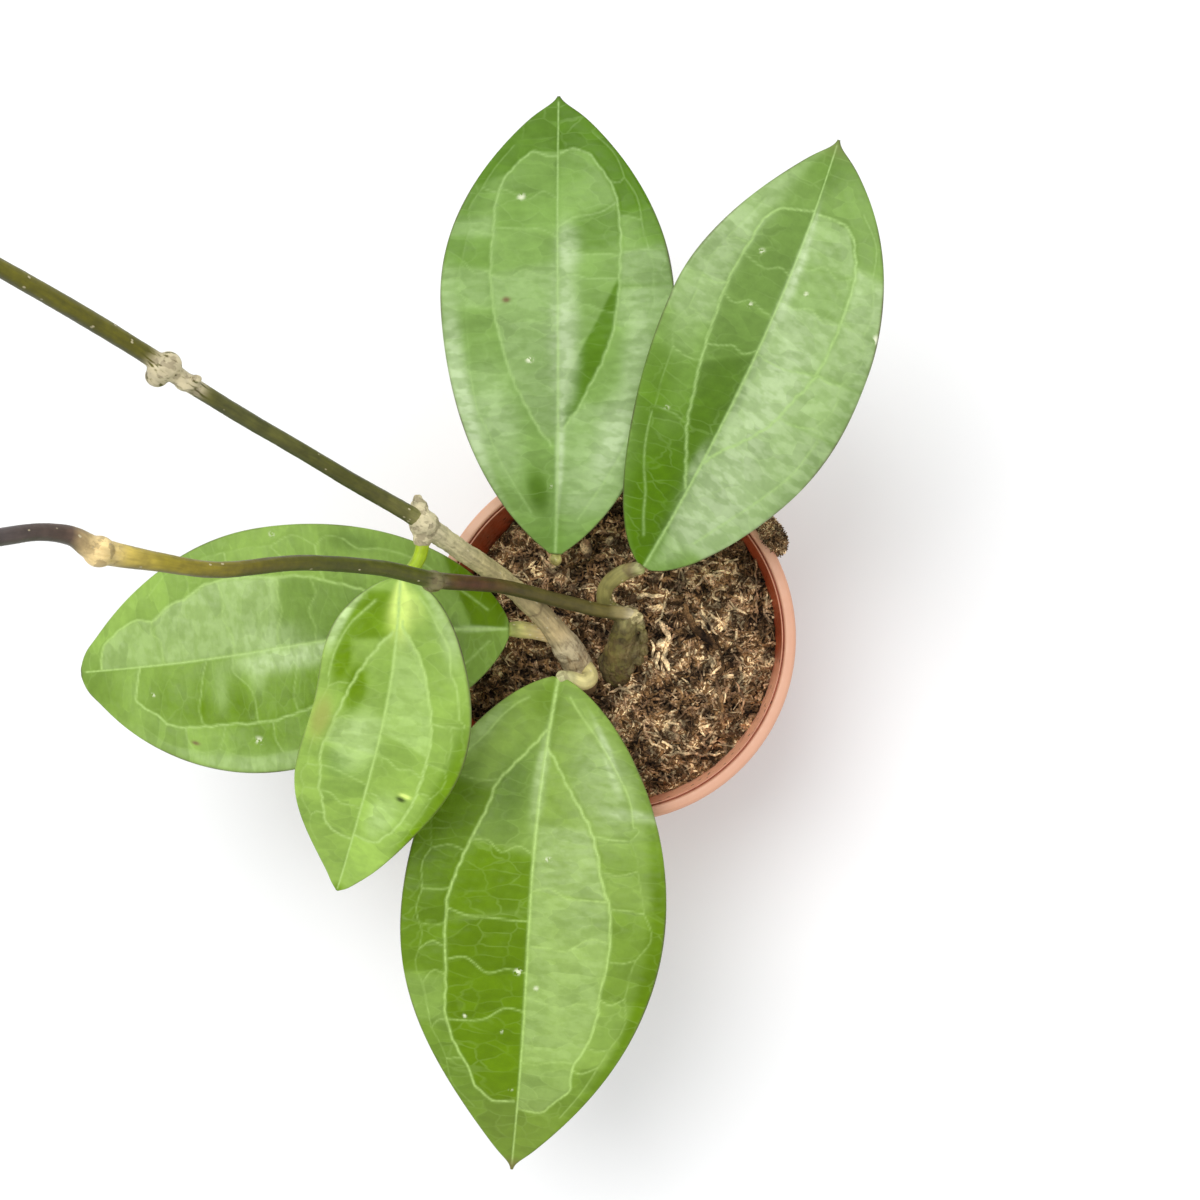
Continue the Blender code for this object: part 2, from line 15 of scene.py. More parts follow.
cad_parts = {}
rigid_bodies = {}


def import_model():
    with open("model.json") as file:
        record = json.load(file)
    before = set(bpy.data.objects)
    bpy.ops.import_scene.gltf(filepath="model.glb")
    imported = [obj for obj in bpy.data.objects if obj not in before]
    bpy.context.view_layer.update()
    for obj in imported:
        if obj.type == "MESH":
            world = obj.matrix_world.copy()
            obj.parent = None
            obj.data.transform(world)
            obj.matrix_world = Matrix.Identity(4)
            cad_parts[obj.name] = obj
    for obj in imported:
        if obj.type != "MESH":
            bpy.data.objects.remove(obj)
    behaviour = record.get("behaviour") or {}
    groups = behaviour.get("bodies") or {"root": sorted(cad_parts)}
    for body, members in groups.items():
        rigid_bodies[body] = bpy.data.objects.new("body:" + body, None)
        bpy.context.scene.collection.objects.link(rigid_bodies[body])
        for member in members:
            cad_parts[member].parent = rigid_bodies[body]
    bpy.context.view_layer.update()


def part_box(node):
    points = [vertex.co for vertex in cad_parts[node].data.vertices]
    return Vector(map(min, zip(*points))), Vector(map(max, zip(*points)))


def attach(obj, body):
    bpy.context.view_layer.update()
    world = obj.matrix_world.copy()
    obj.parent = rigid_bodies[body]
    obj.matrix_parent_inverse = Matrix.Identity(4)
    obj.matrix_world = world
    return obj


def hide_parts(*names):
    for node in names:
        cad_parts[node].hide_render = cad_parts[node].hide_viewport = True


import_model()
POT_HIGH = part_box("pot")[1]

bl_info = {
    "name": "Potted Hoya",
    "version": (1, 0, 0),
    "blender": (4, 5, 0),
    "location": "3D View > Sidebar > Potted Hoya",
    "description": "Dresses a potted hoya with its leaves, vines, potting mix and pot",
    "category": "Object",
}

MM = 0.001
BODY = "root"
INNER_RADIUS = 55.9     # of the pot's rim, in millimetres
MIX_LEVEL = 86.5        # height of the middle of the mix, in millimetres


def screen_colour(red, green, blue):
    """A linear colour from its values on a screen, 0 to 255."""
    linear = []
    for value in (red / 255.0, green / 255.0, blue / 255.0):
        linear.append(value / 12.92 if value <= 0.04045 else ((value + 0.055) / 1.055) ** 2.4)
    return (*linear, 1.0)


# Settings that a user would change

def length(name, description, default):
    return bpy.props.FloatProperty(name=name, description=description, default=default, min=0.0,
                                   precision=5, unit="LENGTH")


def colour(name, description, default):
    """A colour whose default is given as it is on a screen, 0 to 255."""
    return bpy.props.FloatVectorProperty(name=name, description=description, size=4, min=0.0, max=1.0,
                                         default=screen_colour(*default), subtype="COLOR")


def count(name, description, default):
    return bpy.props.IntProperty(name=name, description=description, default=default, min=0)


class StageSettings(bpy.types.PropertyGroup):
    camera_place: bpy.props.FloatVectorProperty(
        name="Camera Place", description="Where the camera stands", default=(0.04033, -0.04023, 0.750),
        subtype="TRANSLATION", unit="LENGTH")
    camera_azimuth: bpy.props.FloatProperty(
        name="Camera Azimuth", description="Which way round the plant the camera has gone",
        default=math.radians(40.0), subtype="ANGLE", unit="ROTATION")
    camera_elevation: bpy.props.FloatProperty(
        name="Camera Elevation", description="How high above the horizon the camera looks from",
        default=math.radians(84.0), subtype="ANGLE", unit="ROTATION")
    lens: bpy.props.FloatProperty(
        name="Lens", description="Focal length on a 36 mm sensor", default=60.136, min=10.0,
        subtype="DISTANCE_CAMERA")
    floor_size: length("Floor Size", "Side of the square floor", 6.0)
    key_power: bpy.props.FloatProperty(
        name="Key Light", description="Power of the soft light from the upper left", default=19.0, min=0.0,
        subtype="POWER", unit="POWER")
    sky_strength: bpy.props.FloatProperty(
        name="Sky", description="Strength of the even white light from all round", default=0.95, min=0.0,
        max=10.0, subtype="FACTOR")
    floor_colour: colour("Floor", "Colour of the floor", (239, 240, 241))


class PotSettings(bpy.types.PropertyGroup):
    rim_radius: length("Rim Radius", "Outer radius of the rim", POT_HIGH[0])
    height: length("Height", "From the underside to the top of the rim", POT_HIGH[2])
    base_radius: length("Base Radius", "Outer radius of the foot", 43.5 * MM)
    wall: length("Wall", "Thickness of the plastic", 1.5 * MM)
    lip_inner_radius: length("Lip Radius", "Inner radius of the rim", INNER_RADIUS * MM)
    skirt_depth: length("Skirt Depth", "How far the rim hangs down outside", 10.0 * MM)
    drain_radius: length("Drain Hole Radius", "Radius of each drain hole", 3.5 * MM)
    drain_circle: length("Drain Circle", "Radius of the circle of drain holes", 30.5 * MM)
    drain_holes: count("Drain Holes", "Number of drain holes", 8)
    steps: count("Steps", "Facets round the pot", 192)
    plastic: colour("Plastic", "Colour of the plastic", (184, 98, 66))
    # Paler rim top: partly wear, partly painted highlight where the top of the rim meets the light.
    scuff: colour("Worn And Lit Rim", "Colour of the paler, worn top of the rim", (210, 164, 136))
    dust: colour("Dirt", "Colour of the mix that sticks to the plastic", (62, 36, 22))


class MixSettings(bpy.types.PropertyGroup):
    level: length("Level", "Height of the middle of the mound", MIX_LEVEL * MM)
    crumbs: count("Crumbs", "Number of crumbs on the mix", 7000)
    fibres: count("Fibres", "Number of short coir fibres", 5200)
    flakes: count("Flakes", "Number of pale flakes", 2200)
    dark: colour("Dark", "Colour of damp crumbs and gaps", (44, 29, 17))
    brown: colour("Brown", "Colour of most of the mix", (138, 105, 68))
    straw: colour("Straw", "Colour of the pale fibres", (232, 206, 160))


class LeafSettings(bpy.types.PropertyGroup):
    thickness: length("Thickness", "Thickness of a blade at its middle", 1.6 * MM)
    spacing: length("Spacing", "Distance between the points of a blade's mesh", 0.56 * MM)
    vein_depth: length("Vein Depth", "How deep the long veins sink into the face", 0.30 * MM)
    quilting: length("Quilting", "How far the panels between the veins swell", 0.32 * MM)
    green: colour("Green", "Colour of most of the face", (124, 158, 82))
    # Deep green: partly the blade's own darker green, partly painted shade from folds, from leaves above and
    # on halves turned from the light.
    deep: colour("Deep Green", "Colour of the darker parts", (78, 106, 40))
    # Vivid yellow-green: partly the blade's own colour, partly painted glow of light shining through the
    # blade.
    glow: colour("Glow", "Colour of the vivid yellow-green parts", (92, 124, 0))
    # Pale patches of the face: partly the wax coat, partly painted sheen where the face would reflect the
    # light.
    bloom_and_sheen: colour("Bloom And Sheen", "Colour of the pale waxy parts", (172, 192, 148))
    vein: colour("Veins", "Colour of the veins", (160, 192, 120))
    underside: colour("Underside", "Colour of the paler underside", (140, 162, 106))
    rim: colour("Edge", "Colour of the thin purplish edge", (84, 76, 60))


class StemSettings(bpy.types.PropertyGroup):
    grain: length("Mesh Grain", "Distance between the points of a stem's mesh", 0.30 * MM)
    bark_depth: length("Bark Depth", "Roughness of the woody stems", 0.34 * MM)
    vine_depth: length("Vine Depth", "Roughness of the green vines", 0.10 * MM)
    cork: colour("Cork", "Colour of the corky knobs", (206, 194, 158))
    crack: colour("Cracks", "Colour of cracks and scars", (84, 66, 44))


class HoyaSettings(bpy.types.PropertyGroup):
    stage: bpy.props.PointerProperty(type=StageSettings, name="Stage", description="Camera, light and floor")
    pot: bpy.props.PointerProperty(type=PotSettings, name="Pot", description="The nursery pot")
    mix: bpy.props.PointerProperty(type=MixSettings, name="Potting Mix", description="What fills the pot")
    leaves: bpy.props.PointerProperty(type=LeafSettings, name="Leaves", description="The five blades")
    stems: bpy.props.PointerProperty(type=StemSettings, name="Stems", description="Stems, vines and stalks")


# Meshes and objects

def link_object(name, mesh):
    obj = bpy.data.objects.new(name, mesh)
    bpy.context.scene.collection.objects.link(obj)
    return obj


def make_mesh(name, points, faces=(), edges=()):
    """A mesh from points in metres; faces and edges hold the numbers of their points."""
    mesh = bpy.data.meshes.new(name)
    mesh.from_pydata(np.asarray(points, float).tolist(), list(edges), list(faces))
    mesh.update()
    return mesh


def mesh_points(mesh):
    points = np.empty(len(mesh.vertices) * 3)
    mesh.vertices.foreach_get("co", points)
    return points.reshape(-1, 3)


def add_values(mesh, name, values, kind="FLOAT"):
    """Store one number, or one vector, for each point of a mesh."""
    attribute = mesh.attributes.new(name, kind, "POINT")
    key = "vector" if kind == "FLOAT_VECTOR" else "value"
    attribute.data.foreach_set(key, np.asarray(values, np.float32).ravel())


def apply_modifiers(obj):
    """Give the object the plain mesh that its modifiers make."""
    bpy.context.view_layer.update()
    depsgraph = bpy.context.evaluated_depsgraph_get()
    mesh = bpy.data.meshes.new_from_object(obj.evaluated_get(depsgraph))
    obj.modifiers.clear()
    obj.data = mesh


def point_outwards(mesh):
    """Close seams and poles, then turn every face outwards."""
    merge = 0.002 * MM
    bm = bmesh.new()
    bm.from_mesh(mesh)
    bmesh.ops.remove_doubles(bm, verts=bm.verts, dist=merge)
    bmesh.ops.dissolve_degenerate(bm, edges=bm.edges, dist=merge)
    bmesh.ops.recalc_face_normals(bm, faces=bm.faces)
    bm.to_mesh(mesh)
    bm.free()


def shade(mesh, sharp_angle=None):
    """Smooth shading, with edges sharper than this angle in degrees kept crisp."""
    mesh.shade_smooth()
    if sharp_angle is not None:
        mesh.set_sharp_from_angle(angle=math.radians(sharp_angle))


def set_material(obj, material):
    obj.data.materials.clear()
    obj.data.materials.append(material)


def hand_over(obj, node):
    """The finished piece rides on the body and stands for its CAD node."""
    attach(obj, BODY)
    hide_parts(node)


def smooth_route(route, spacing):
    """Points read off a Catmull-Rom curve through a route; each point may carry more than its place."""
    knots = np.asarray(route, float)
    padded = np.vstack([2.0 * knots[0] - knots[1], knots, 2.0 * knots[-1] - knots[-2]])
    samples = []
    for index in range(len(knots) - 1):
        a, b, c, d = padded[index:index + 4]
        steps = max(1, round(float(np.linalg.norm((c - b)[:3])) / spacing))
        for step in range(steps):
            t = step / steps
            samples.append(0.5 * (2.0 * b + (c - a) * t + (2.0 * a - 5.0 * b + 4.0 * c - d) * t ** 2
                                  + (3.0 * b - a - 3.0 * c + d) * t ** 3))
    samples.append(knots[-1])
    return np.array(samples)


def ripples(x, y, wavelength, seed, stretch=1.0):
    """Smooth random bumps between about -1 and 1, longer across x when stretch is over 1."""
    rng = np.random.default_rng(seed)
    total = np.zeros(np.broadcast(x, y).shape)
    waves = 8
    for _ in range(waves):
        angle = rng.uniform(0.0, math.tau)
        pace = math.tau / wavelength * rng.uniform(0.6, 1.5)
        phase = rng.uniform(0.0, math.tau)
        total += np.sin(pace * (x * math.cos(angle) / stretch + y * math.sin(angle)) + phase)
    return total * 1.8 / waves


# Node trees

def find_socket(sockets, name):
    """The socket in use that has this name, or the first in use for None; others may share the name."""
    return next(item for item in sockets if item.enabled and name in (None, item.name))


def output(node, name=None):
    return find_socket(node.outputs, name)


def feed(tree, node, values):
    """Set a node's inputs to numbers, or to the sockets or nodes that feed them."""
    for name, value in values.items():
        target = node.inputs[name] if isinstance(name, int) else find_socket(node.inputs, name)
        if isinstance(value, bpy.types.Node):
            value = output(value)
        if isinstance(value, bpy.types.NodeSocket):
            tree.links.new(value, target)
        else:
            target.default_value = value


def add_node(tree, kind, values=None, **settings):
    """A node with its settings and what feeds its inputs."""
    node = tree.nodes.new(kind)
    for name, value in settings.items():
        setattr(node, name, value)
    feed(tree, node, values or {})
    return node


def result(tree, kind, values, name=None, **settings):
    """An output of a new node."""
    return output(add_node(tree, kind, values, **settings), name)


def add_inputs(tree, inputs):
    """Named inputs with their defaults, which tell their kinds; None stands for a collection."""
    kinds = {bool: "Bool", int: "Int", float: "Float", tuple: "Vector", type(None): "Collection"}
    for label, default in inputs.items():
        kind = "NodeSocket" + kinds[type(default)]
        socket = tree.interface.new_socket(label, in_out="INPUT", socket_type=kind)
        if default is not None:
            socket.default_value = default


def new_geometry_tree(name, inputs):
    """A geometry node tree and its inputs: a geometry, those named here and a material."""
    tree = bpy.data.node_groups.new(name, "GeometryNodeTree")
    tree.interface.new_socket("Geometry", in_out="INPUT", socket_type="NodeSocketGeometry")
    add_inputs(tree, inputs)
    tree.interface.new_socket("Material", in_out="INPUT", socket_type="NodeSocketMaterial")
    tree.interface.new_socket("Geometry", in_out="OUTPUT", socket_type="NodeSocketGeometry")
    return tree, tree.nodes.new("NodeGroupInput").outputs


def close_geometry_tree(tree, given, *made):
    """Join what the tree has made, and end it in Realize Instances and Set Material."""
    joined = add_node(tree, "GeometryNodeJoinGeometry")
    for geometry in made:
        tree.links.new(output(geometry), joined.inputs["Geometry"])
    real = add_node(tree, "GeometryNodeRealizeInstances", {"Geometry": joined})
    finish = add_node(tree, "GeometryNodeSetMaterial", {"Geometry": real, "Material": given["Material"]})
    feed(tree, tree.nodes.new("NodeGroupOutput"), {"Geometry": finish})
    return tree


def add_tree(obj, tree, values):
    """Put a node tree on an object, with its inputs set by their identifiers."""
    modifier = obj.modifiers.new(tree.name, "NODES")
    modifier.node_group = tree
    for item in tree.interface.items_tree:
        if item.item_type == "SOCKET" and item.in_out == "INPUT" and item.name in values:
            modifier[item.identifier] = values[item.name]
    return modifier


def math_node(tree, operation, first, second, third=0.5, clamp=False):
    return result(tree, "ShaderNodeMath", {0: first, 1: second, 2: third},
                  operation=operation, use_clamp=clamp)


def times(tree, first, second, clamp=False):
    return math_node(tree, "MULTIPLY", first, second, clamp=clamp)


def plus(tree, first, second, clamp=False):
    return math_node(tree, "ADD", first, second, clamp=clamp)


def minus(tree, first, second):
    return math_node(tree, "SUBTRACT", first, second)


def larger(tree, first, second):
    return math_node(tree, "MAXIMUM", first, second)


def scaled(tree, value, factor, base):
    return math_node(tree, "MULTIPLY_ADD", value, factor, base)


def vector_scale(tree, vector, scale):
    return result(tree, "ShaderNodeVectorMath", {"Vector": vector, "Scale": scale}, operation="SCALE")


def turned_tree():
    """A profile of (radius, height) turned round the Z axis, with drain holes cut through its floor."""
    tree, given = new_geometry_tree("turned_pot", {
        "Steps": 192, "Hub Radius": 0.001, "Drain Holes": 8, "Drain Radius": 0.0035,
        "Drain Circle": 0.0305, "Drain Depth": 0.02})
    profile = add_node(tree, "GeometryNodeMeshToCurve", {"Mesh": given["Geometry"]})
    hub = add_node(tree, "GeometryNodeCurvePrimitiveCircle",
                   {"Resolution": given["Steps"], "Radius": given["Hub Radius"]})
    shell = add_node(tree, "GeometryNodeCurveToMesh", {"Curve": hub, "Profile Curve": profile})
    merged = add_node(tree, "GeometryNodeMergeByDistance", {"Geometry": shell, "Distance": 0.00001})
    ring = add_node(tree, "GeometryNodeMeshCircle",
                    {"Vertices": given["Drain Holes"], "Radius": given["Drain Circle"]})
    drill = add_node(tree, "GeometryNodeMeshCylinder",
                     {"Vertices": 32, "Radius": given["Drain Radius"], "Depth": given["Drain Depth"]})
    drills = add_node(tree, "GeometryNodeInstanceOnPoints", {"Points": ring, "Instance": drill})
    spin = math_node(tree, "DIVIDE", math.pi, given["Drain Holes"])
    heading = add_node(tree, "ShaderNodeCombineXYZ", {"Z": spin})
    turned_drills = add_node(tree, "GeometryNodeRotateInstances",
                             {"Instances": drills, "Rotation": heading, "Local Space": False})
    real_drills = add_node(tree, "GeometryNodeRealizeInstances", {"Geometry": turned_drills})
    cut = add_node(tree, "GeometryNodeMeshBoolean", {"Mesh 1": merged, "Mesh 2": real_drills},
                   operation="DIFFERENCE", solver="EXACT")
    return close_geometry_tree(tree, given, cut)


def route_tree():
    """Tubes along polylines, and a round knob on each loose point that has a size."""
    tree, given = new_geometry_tree("tubes_along_routes", {"Sides": 12, "Knob Detail": 4})
    knob = add_node(tree, "GeometryNodeInputNamedAttribute", {"Name": "is_knob"}, data_type="BOOLEAN")
    parts = add_node(tree, "GeometryNodeSeparateGeometry", {"Geometry": given["Geometry"], "Selection": knob})
    route = add_node(tree, "GeometryNodeMeshToCurve", {"Mesh": output(parts, "Inverted")})
    section = add_node(tree, "GeometryNodeCurvePrimitiveCircle",
                       {"Resolution": given["Sides"], "Radius": 1.0})
    thick = add_node(tree, "GeometryNodeInputNamedAttribute", {"Name": "thickness"}, data_type="FLOAT")
    tube = add_node(tree, "GeometryNodeCurveToMesh",
                    {"Curve": route, "Profile Curve": section, "Scale": thick, "Fill Caps": True})
    ball = add_node(tree, "GeometryNodeMeshIcoSphere", {"Radius": 1.0, "Subdivisions": given["Knob Detail"]})
    size = add_node(tree, "GeometryNodeInputNamedAttribute", {"Name": "knob_size"}, data_type="FLOAT_VECTOR")
    knobs = add_node(tree, "GeometryNodeInstanceOnPoints", {"Points": parts, "Instance": ball, "Scale": size})
    return close_geometry_tree(tree, given, tube, knobs)


def bark_tree():
    """Push a surface in and out along its normals by two sizes of noise."""
    tree, given = new_geometry_tree(
        "bark", {"Depth": 0.0003, "Lump Size": 0.004, "Grain Size": 0.001, "Seed": 1.0})
    place = add_node(tree, "GeometryNodeInputPosition")
    normal = add_node(tree, "GeometryNodeInputNormal")
    total = None
    for label, share in (("Lump Size", 1.0), ("Grain Size", 0.6)):
        fineness = math_node(tree, "DIVIDE", 1.0, given[label])
        noise = add_node(tree, "ShaderNodeTexNoise",
                         {"Vector": place, "W": given["Seed"], "Scale": fineness, "Detail": 2.0},
                         noise_dimensions="4D")
        centred = minus(tree, noise, 0.5)
        part = times(tree, centred, 2.0 * share)
        total = part if total is None else plus(tree, total, part)
    depth = times(tree, total, given["Depth"])
    offset = vector_scale(tree, normal, depth)
    moved = add_node(tree, "GeometryNodeSetPosition", {"Geometry": given["Geometry"], "Offset": offset})
    return close_geometry_tree(tree, given, moved)


def scatter_tree():
    """Scatter pieces from a collection over the upward faces of a surface, each with its own shade."""
    tree, given = new_geometry_tree("scatter", {
        "Pieces": None, "Density": 1000.0, "Smallest": (0.5, 0.5, 0.5), "Largest": (1.5, 1.5, 1.5),
        "Tilt": 0.4, "Lift": 0.0, "Steepest": 0.3, "Keep Surface": False, "Seed": 1})
    normal = add_node(tree, "GeometryNodeInputNormal")
    parts = add_node(tree, "ShaderNodeSeparateXYZ", {"Vector": normal})
    upward = add_node(tree, "FunctionNodeCompare", {"A": output(parts, "Z"), "B": given["Steepest"]},
                      data_type="FLOAT", operation="GREATER_THAN")
    ground = add_node(tree, "GeometryNodeSeparateGeometry",
                      {"Geometry": given["Geometry"], "Selection": upward}, domain="FACE")
    points = add_node(tree, "GeometryNodeDistributePointsOnFaces", {
        "Mesh": ground, "Density": given["Density"], "Seed": given["Seed"]})
    lift = add_node(tree, "ShaderNodeCombineXYZ", {"Z": given["Lift"]})
    lifted = add_node(tree, "GeometryNodeSetPosition", {"Geometry": points, "Offset": lift})
    pieces = add_node(tree, "GeometryNodeCollectionInfo",
                      {"Collection": given["Pieces"], "Separate Children": True, "Reset Children": True})
    less = times(tree, given["Tilt"], -1.0)
    low = add_node(tree, "ShaderNodeCombineXYZ", {"X": less, "Y": less, "Z": 0.0})
    high = add_node(tree, "ShaderNodeCombineXYZ", {"X": given["Tilt"], "Y": given["Tilt"], "Z": math.tau})
    turn = add_node(tree, "FunctionNodeRandomValue", {"Min": low, "Max": high, "Seed": given["Seed"]},
                    data_type="FLOAT_VECTOR")
    euler = add_node(tree, "FunctionNodeEulerToRotation", {"Euler": turn})
    rotation = add_node(tree, "FunctionNodeRotateRotation",
                        {"Rotation": output(points, "Rotation"), "Rotate By": euler}, rotation_space="LOCAL")
    next_seed = plus(tree, given["Seed"], 1.0)
    size = add_node(tree, "FunctionNodeRandomValue",
                    {"Min": given["Smallest"], "Max": given["Largest"], "Seed": next_seed},
                    data_type="FLOAT_VECTOR")
    placed = add_node(tree, "GeometryNodeInstanceOnPoints",
                      {"Points": lifted, "Instance": pieces, "Pick Instance": True,
                       "Rotation": rotation, "Scale": size})
    last_seed = plus(tree, given["Seed"], 2.0)
    tone = add_node(tree, "FunctionNodeRandomValue", {"Seed": last_seed}, data_type="FLOAT")
    toned = add_node(tree, "GeometryNodeStoreNamedAttribute",
                     {"Geometry": placed, "Name": "shade", "Value": tone},
                     data_type="FLOAT", domain="INSTANCE")
    kept = add_node(tree, "GeometryNodeSwitch", {"Switch": given["Keep Surface"], "True": given["Geometry"]},
                    input_type="GEOMETRY")
    return close_geometry_tree(tree, given, toned, kept)


# Effects that several materials share

def new_shader_group(name, inputs, results):
    """A shader node group and its inputs, and how many times its Size fits in a metre."""
    tree = bpy.data.node_groups.new(name, "ShaderNodeTree")
    add_inputs(tree, {"Vector": (0.0, 0.0, 0.0), **inputs})
    for label in results:
        tree.interface.new_socket(label, in_out="OUTPUT", socket_type="NodeSocketFloat")
    given = tree.nodes.new("NodeGroupInput").outputs
    scale = math_node(tree, "DIVIDE", 1.0, given["Size"])
    return tree, given, scale


def close_shader_group(tree, values):
    feed(tree, tree.nodes.new("NodeGroupOutput"), values)


def ranged(tree, value, low, high):
    """A value that runs from 0 at low to 1 at high, and stays there beyond."""
    return result(tree, "ShaderNodeMapRange", {"Value": value, "From Min": low, "From Max": high},
                  interpolation_type="SMOOTHSTEP")


def mottle_group():
    """Soft clouds: a mask from 0 to 1, with clouds of a size in metres."""
    tree, given, scale = new_shader_group(
        "mottle", {"Size": 0.01, "Detail": 2.0, "Contrast": 1.0}, ["Mask"])
    noise = add_node(tree, "ShaderNodeTexNoise",
                     {"Vector": given["Vector"], "Scale": scale, "Detail": given["Detail"]})
    centred = minus(tree, noise, 0.5)
    stretched = times(tree, centred, times(tree, given["Contrast"], 2.2))
    close_shader_group(tree, {"Mask": plus(tree, stretched, 0.5, clamp=True)})


def speckle_group():
    """Scattered round dots: a mask that is 1 in a dot, for a share of the cells of a size in metres."""
    tree, given, scale = new_shader_group("speckle", {"Size": 0.002, "Share": 0.3, "Dot": 0.25}, ["Mask"])
    cells = add_node(tree, "ShaderNodeTexVoronoi", {"Vector": given["Vector"], "Scale": scale})
    draw = add_node(tree, "ShaderNodeSeparateColor", {"Color": output(cells, "Color")})
    chosen = math_node(tree, "LESS_THAN", draw, given["Share"])
    inner = times(tree, given["Dot"], 0.6)
    dot = ranged(tree, cells, given["Dot"], inner)
    close_shader_group(tree, {"Mask": times(tree, dot, chosen)})


def pores_group():
    """A fine height from 0 to 1 for a bump, with pores of a size in metres over slower unevenness."""
    tree, given, scale = new_shader_group("pores", {"Size": 0.0005}, ["Height"])
    slow = times(tree, scale, 0.2)
    fine = add_node(tree, "ShaderNodeTexNoise", {"Vector": given["Vector"], "Scale": scale, "Detail": 1.0})
    broad = add_node(tree, "ShaderNodeTexNoise", {"Vector": given["Vector"], "Scale": slow, "Detail": 1.0})
    close_shader_group(tree, {"Height": scaled(tree, broad, 0.6, times(tree, fine, 0.4))})


def facets_group():
    """Uneven patches and the thin lines between them: masks from 0 to 1, with patches of a size in metres."""
    tree, given, scale = new_shader_group("facets", {"Size": 0.005}, ["Patch", "Line"])
    wander = add_node(tree, "ShaderNodeTexNoise", {"Vector": given["Vector"], "Scale": scale, "Detail": 2.0})
    shift = vector_scale(tree, output(wander, "Color"), 0.005)
    place = result(tree, "ShaderNodeVectorMath", {0: given["Vector"], 1: shift}, operation="ADD")
    cells = add_node(tree, "ShaderNodeTexVoronoi", {"Vector": place, "Scale": scale})
    draw = add_node(tree, "ShaderNodeSeparateColor", {"Color": output(cells, "Color")})
    borders = add_node(tree, "ShaderNodeTexVoronoi", {"Vector": place, "Scale": scale},
                       feature="DISTANCE_TO_EDGE")
    close_shader_group(tree, {"Patch": draw, "Line": ranged(tree, borders, 0.06, 0.01)})


def place_group(tree, maker, **values):
    """One of the shared groups in a material, with its own values; its first output."""
    name = maker.__name__.removesuffix("_group")
    if name not in bpy.data.node_groups:
        maker()
    node = add_node(tree, "ShaderNodeGroup", node_tree=bpy.data.node_groups[name])
    feed(tree, node, {label.title(): value for label, value in values.items()})
    return output(node)


def mottled(tree, vector, size, detail, contrast):
    """Soft clouds of a size in metres, as a mask from 0 to 1."""
    return place_group(tree, mottle_group, vector=vector, size=size, detail=detail, contrast=contrast)


# Material helpers

def new_material(name, **constants):
    """A material whose shader's own sockets hold these constants."""
    material = bpy.data.materials.new(name)
    material.use_nodes = True
    tree = material.node_tree
    shader = tree.nodes["Principled BSDF"]
    for label, value in constants.items():
        shader.inputs[label.replace("_", " ").title().replace("Ior", "IOR")].default_value = value
    return material, tree, shader


def object_place(tree):
    return result(tree, "ShaderNodeTexCoord", {}, "Object")


def stored(tree, name, socket="Fac"):
    """A value that is stored on the piece's own points."""
    return result(tree, "ShaderNodeAttribute", {}, socket, attribute_type="GEOMETRY", attribute_name=name)


def mixed(tree, share, first, second):
    """Two colours mixed by a share of the second."""
    return result(tree, "ShaderNodeMix", {"Factor": share, "A": first, "B": second}, "Result",
                  data_type="RGBA")


def brightened(tree, colour_socket, mask, least, most):
    """A colour whose brightness runs from least to most as a mask runs from 0 to 1."""
    value = result(tree, "ShaderNodeMapRange", {"Value": mask, "To Min": least, "To Max": most})
    return result(tree, "ShaderNodeHueSaturation", {"Value": value, "Color": colour_socket})


def ramp(tree, position, stops):
    """A colour read off stops of (position, colour)."""
    node = add_node(tree, "ShaderNodeValToRGB", {"Fac": position})
    elements = node.color_ramp.elements
    elements[0].position, elements[0].color = stops[0]
    elements[1].position, elements[1].color = stops[-1]
    for place, stop_colour in stops[1:-1]:
        elements.new(place).color = stop_colour
    return output(node, "Color")


def stretched(tree, vector, scale):
    """A vector with each of its parts scaled, so that a pattern on it is drawn out."""
    return result(tree, "ShaderNodeVectorMath", {0: vector, 1: scale}, operation="MULTIPLY")


def bump(tree, height, distance, strength):
    return result(tree, "ShaderNodeBump", {"Height": height, "Distance": distance, "Strength": strength})


# Leaf blades

BASE_HALF_WIDTH = 2.2
TIP_HALF_WIDTH = 0.5
EDGE_ROUNDING = 0.9
FINE_STEPS = (0.08, 0.25, 0.5, 0.9)     # distances from the edge of the blade's last points


@dataclass
class Blade:
    """One blade in its own frame, in millimetres: the midrib runs along +X and left is +Y.

    Veins are routes of (along, across): along runs from 0 at the base to 1 at the tip, and across
    from -1 at the left edge to 1 at the right. Cross veins are given by where they meet the long
    side vein and the midrib. Patches are soft, by kind: (along, across, half length, half width,
    strength). Panels end sharply at veins, by kind and zone: (start beside the long side vein, start
    beside the midrib or the edge, the two ends, strength).
    """
    base: tuple
    yaw: float
    pitch: float
    length: float
    left: float
    right: float
    widest: float
    base_round: float
    tip_round: float
    arch: float
    bend: float
    sway: float
    fold_left: float
    fold_right: float
    curl: float
    left_side: list
    right_side: list
    left_margin: list
    right_margin: list
    left_inner: list
    right_inner: list
    left_outer: list
    right_outer: list
    patches: dict
    panels: dict
    wave_left: tuple = (0.0, 0.0)
    wave_right: tuple = (0.0, 0.0)
    light: float = 1.0              # how bright the face is
    warmth: float = 0.0             # how yellow the green is
    vein_strength: float = 1.0
    beak: float = 0.42              # how far the tip narrows at its end; below 0 it is blunt
    seed: int = 1
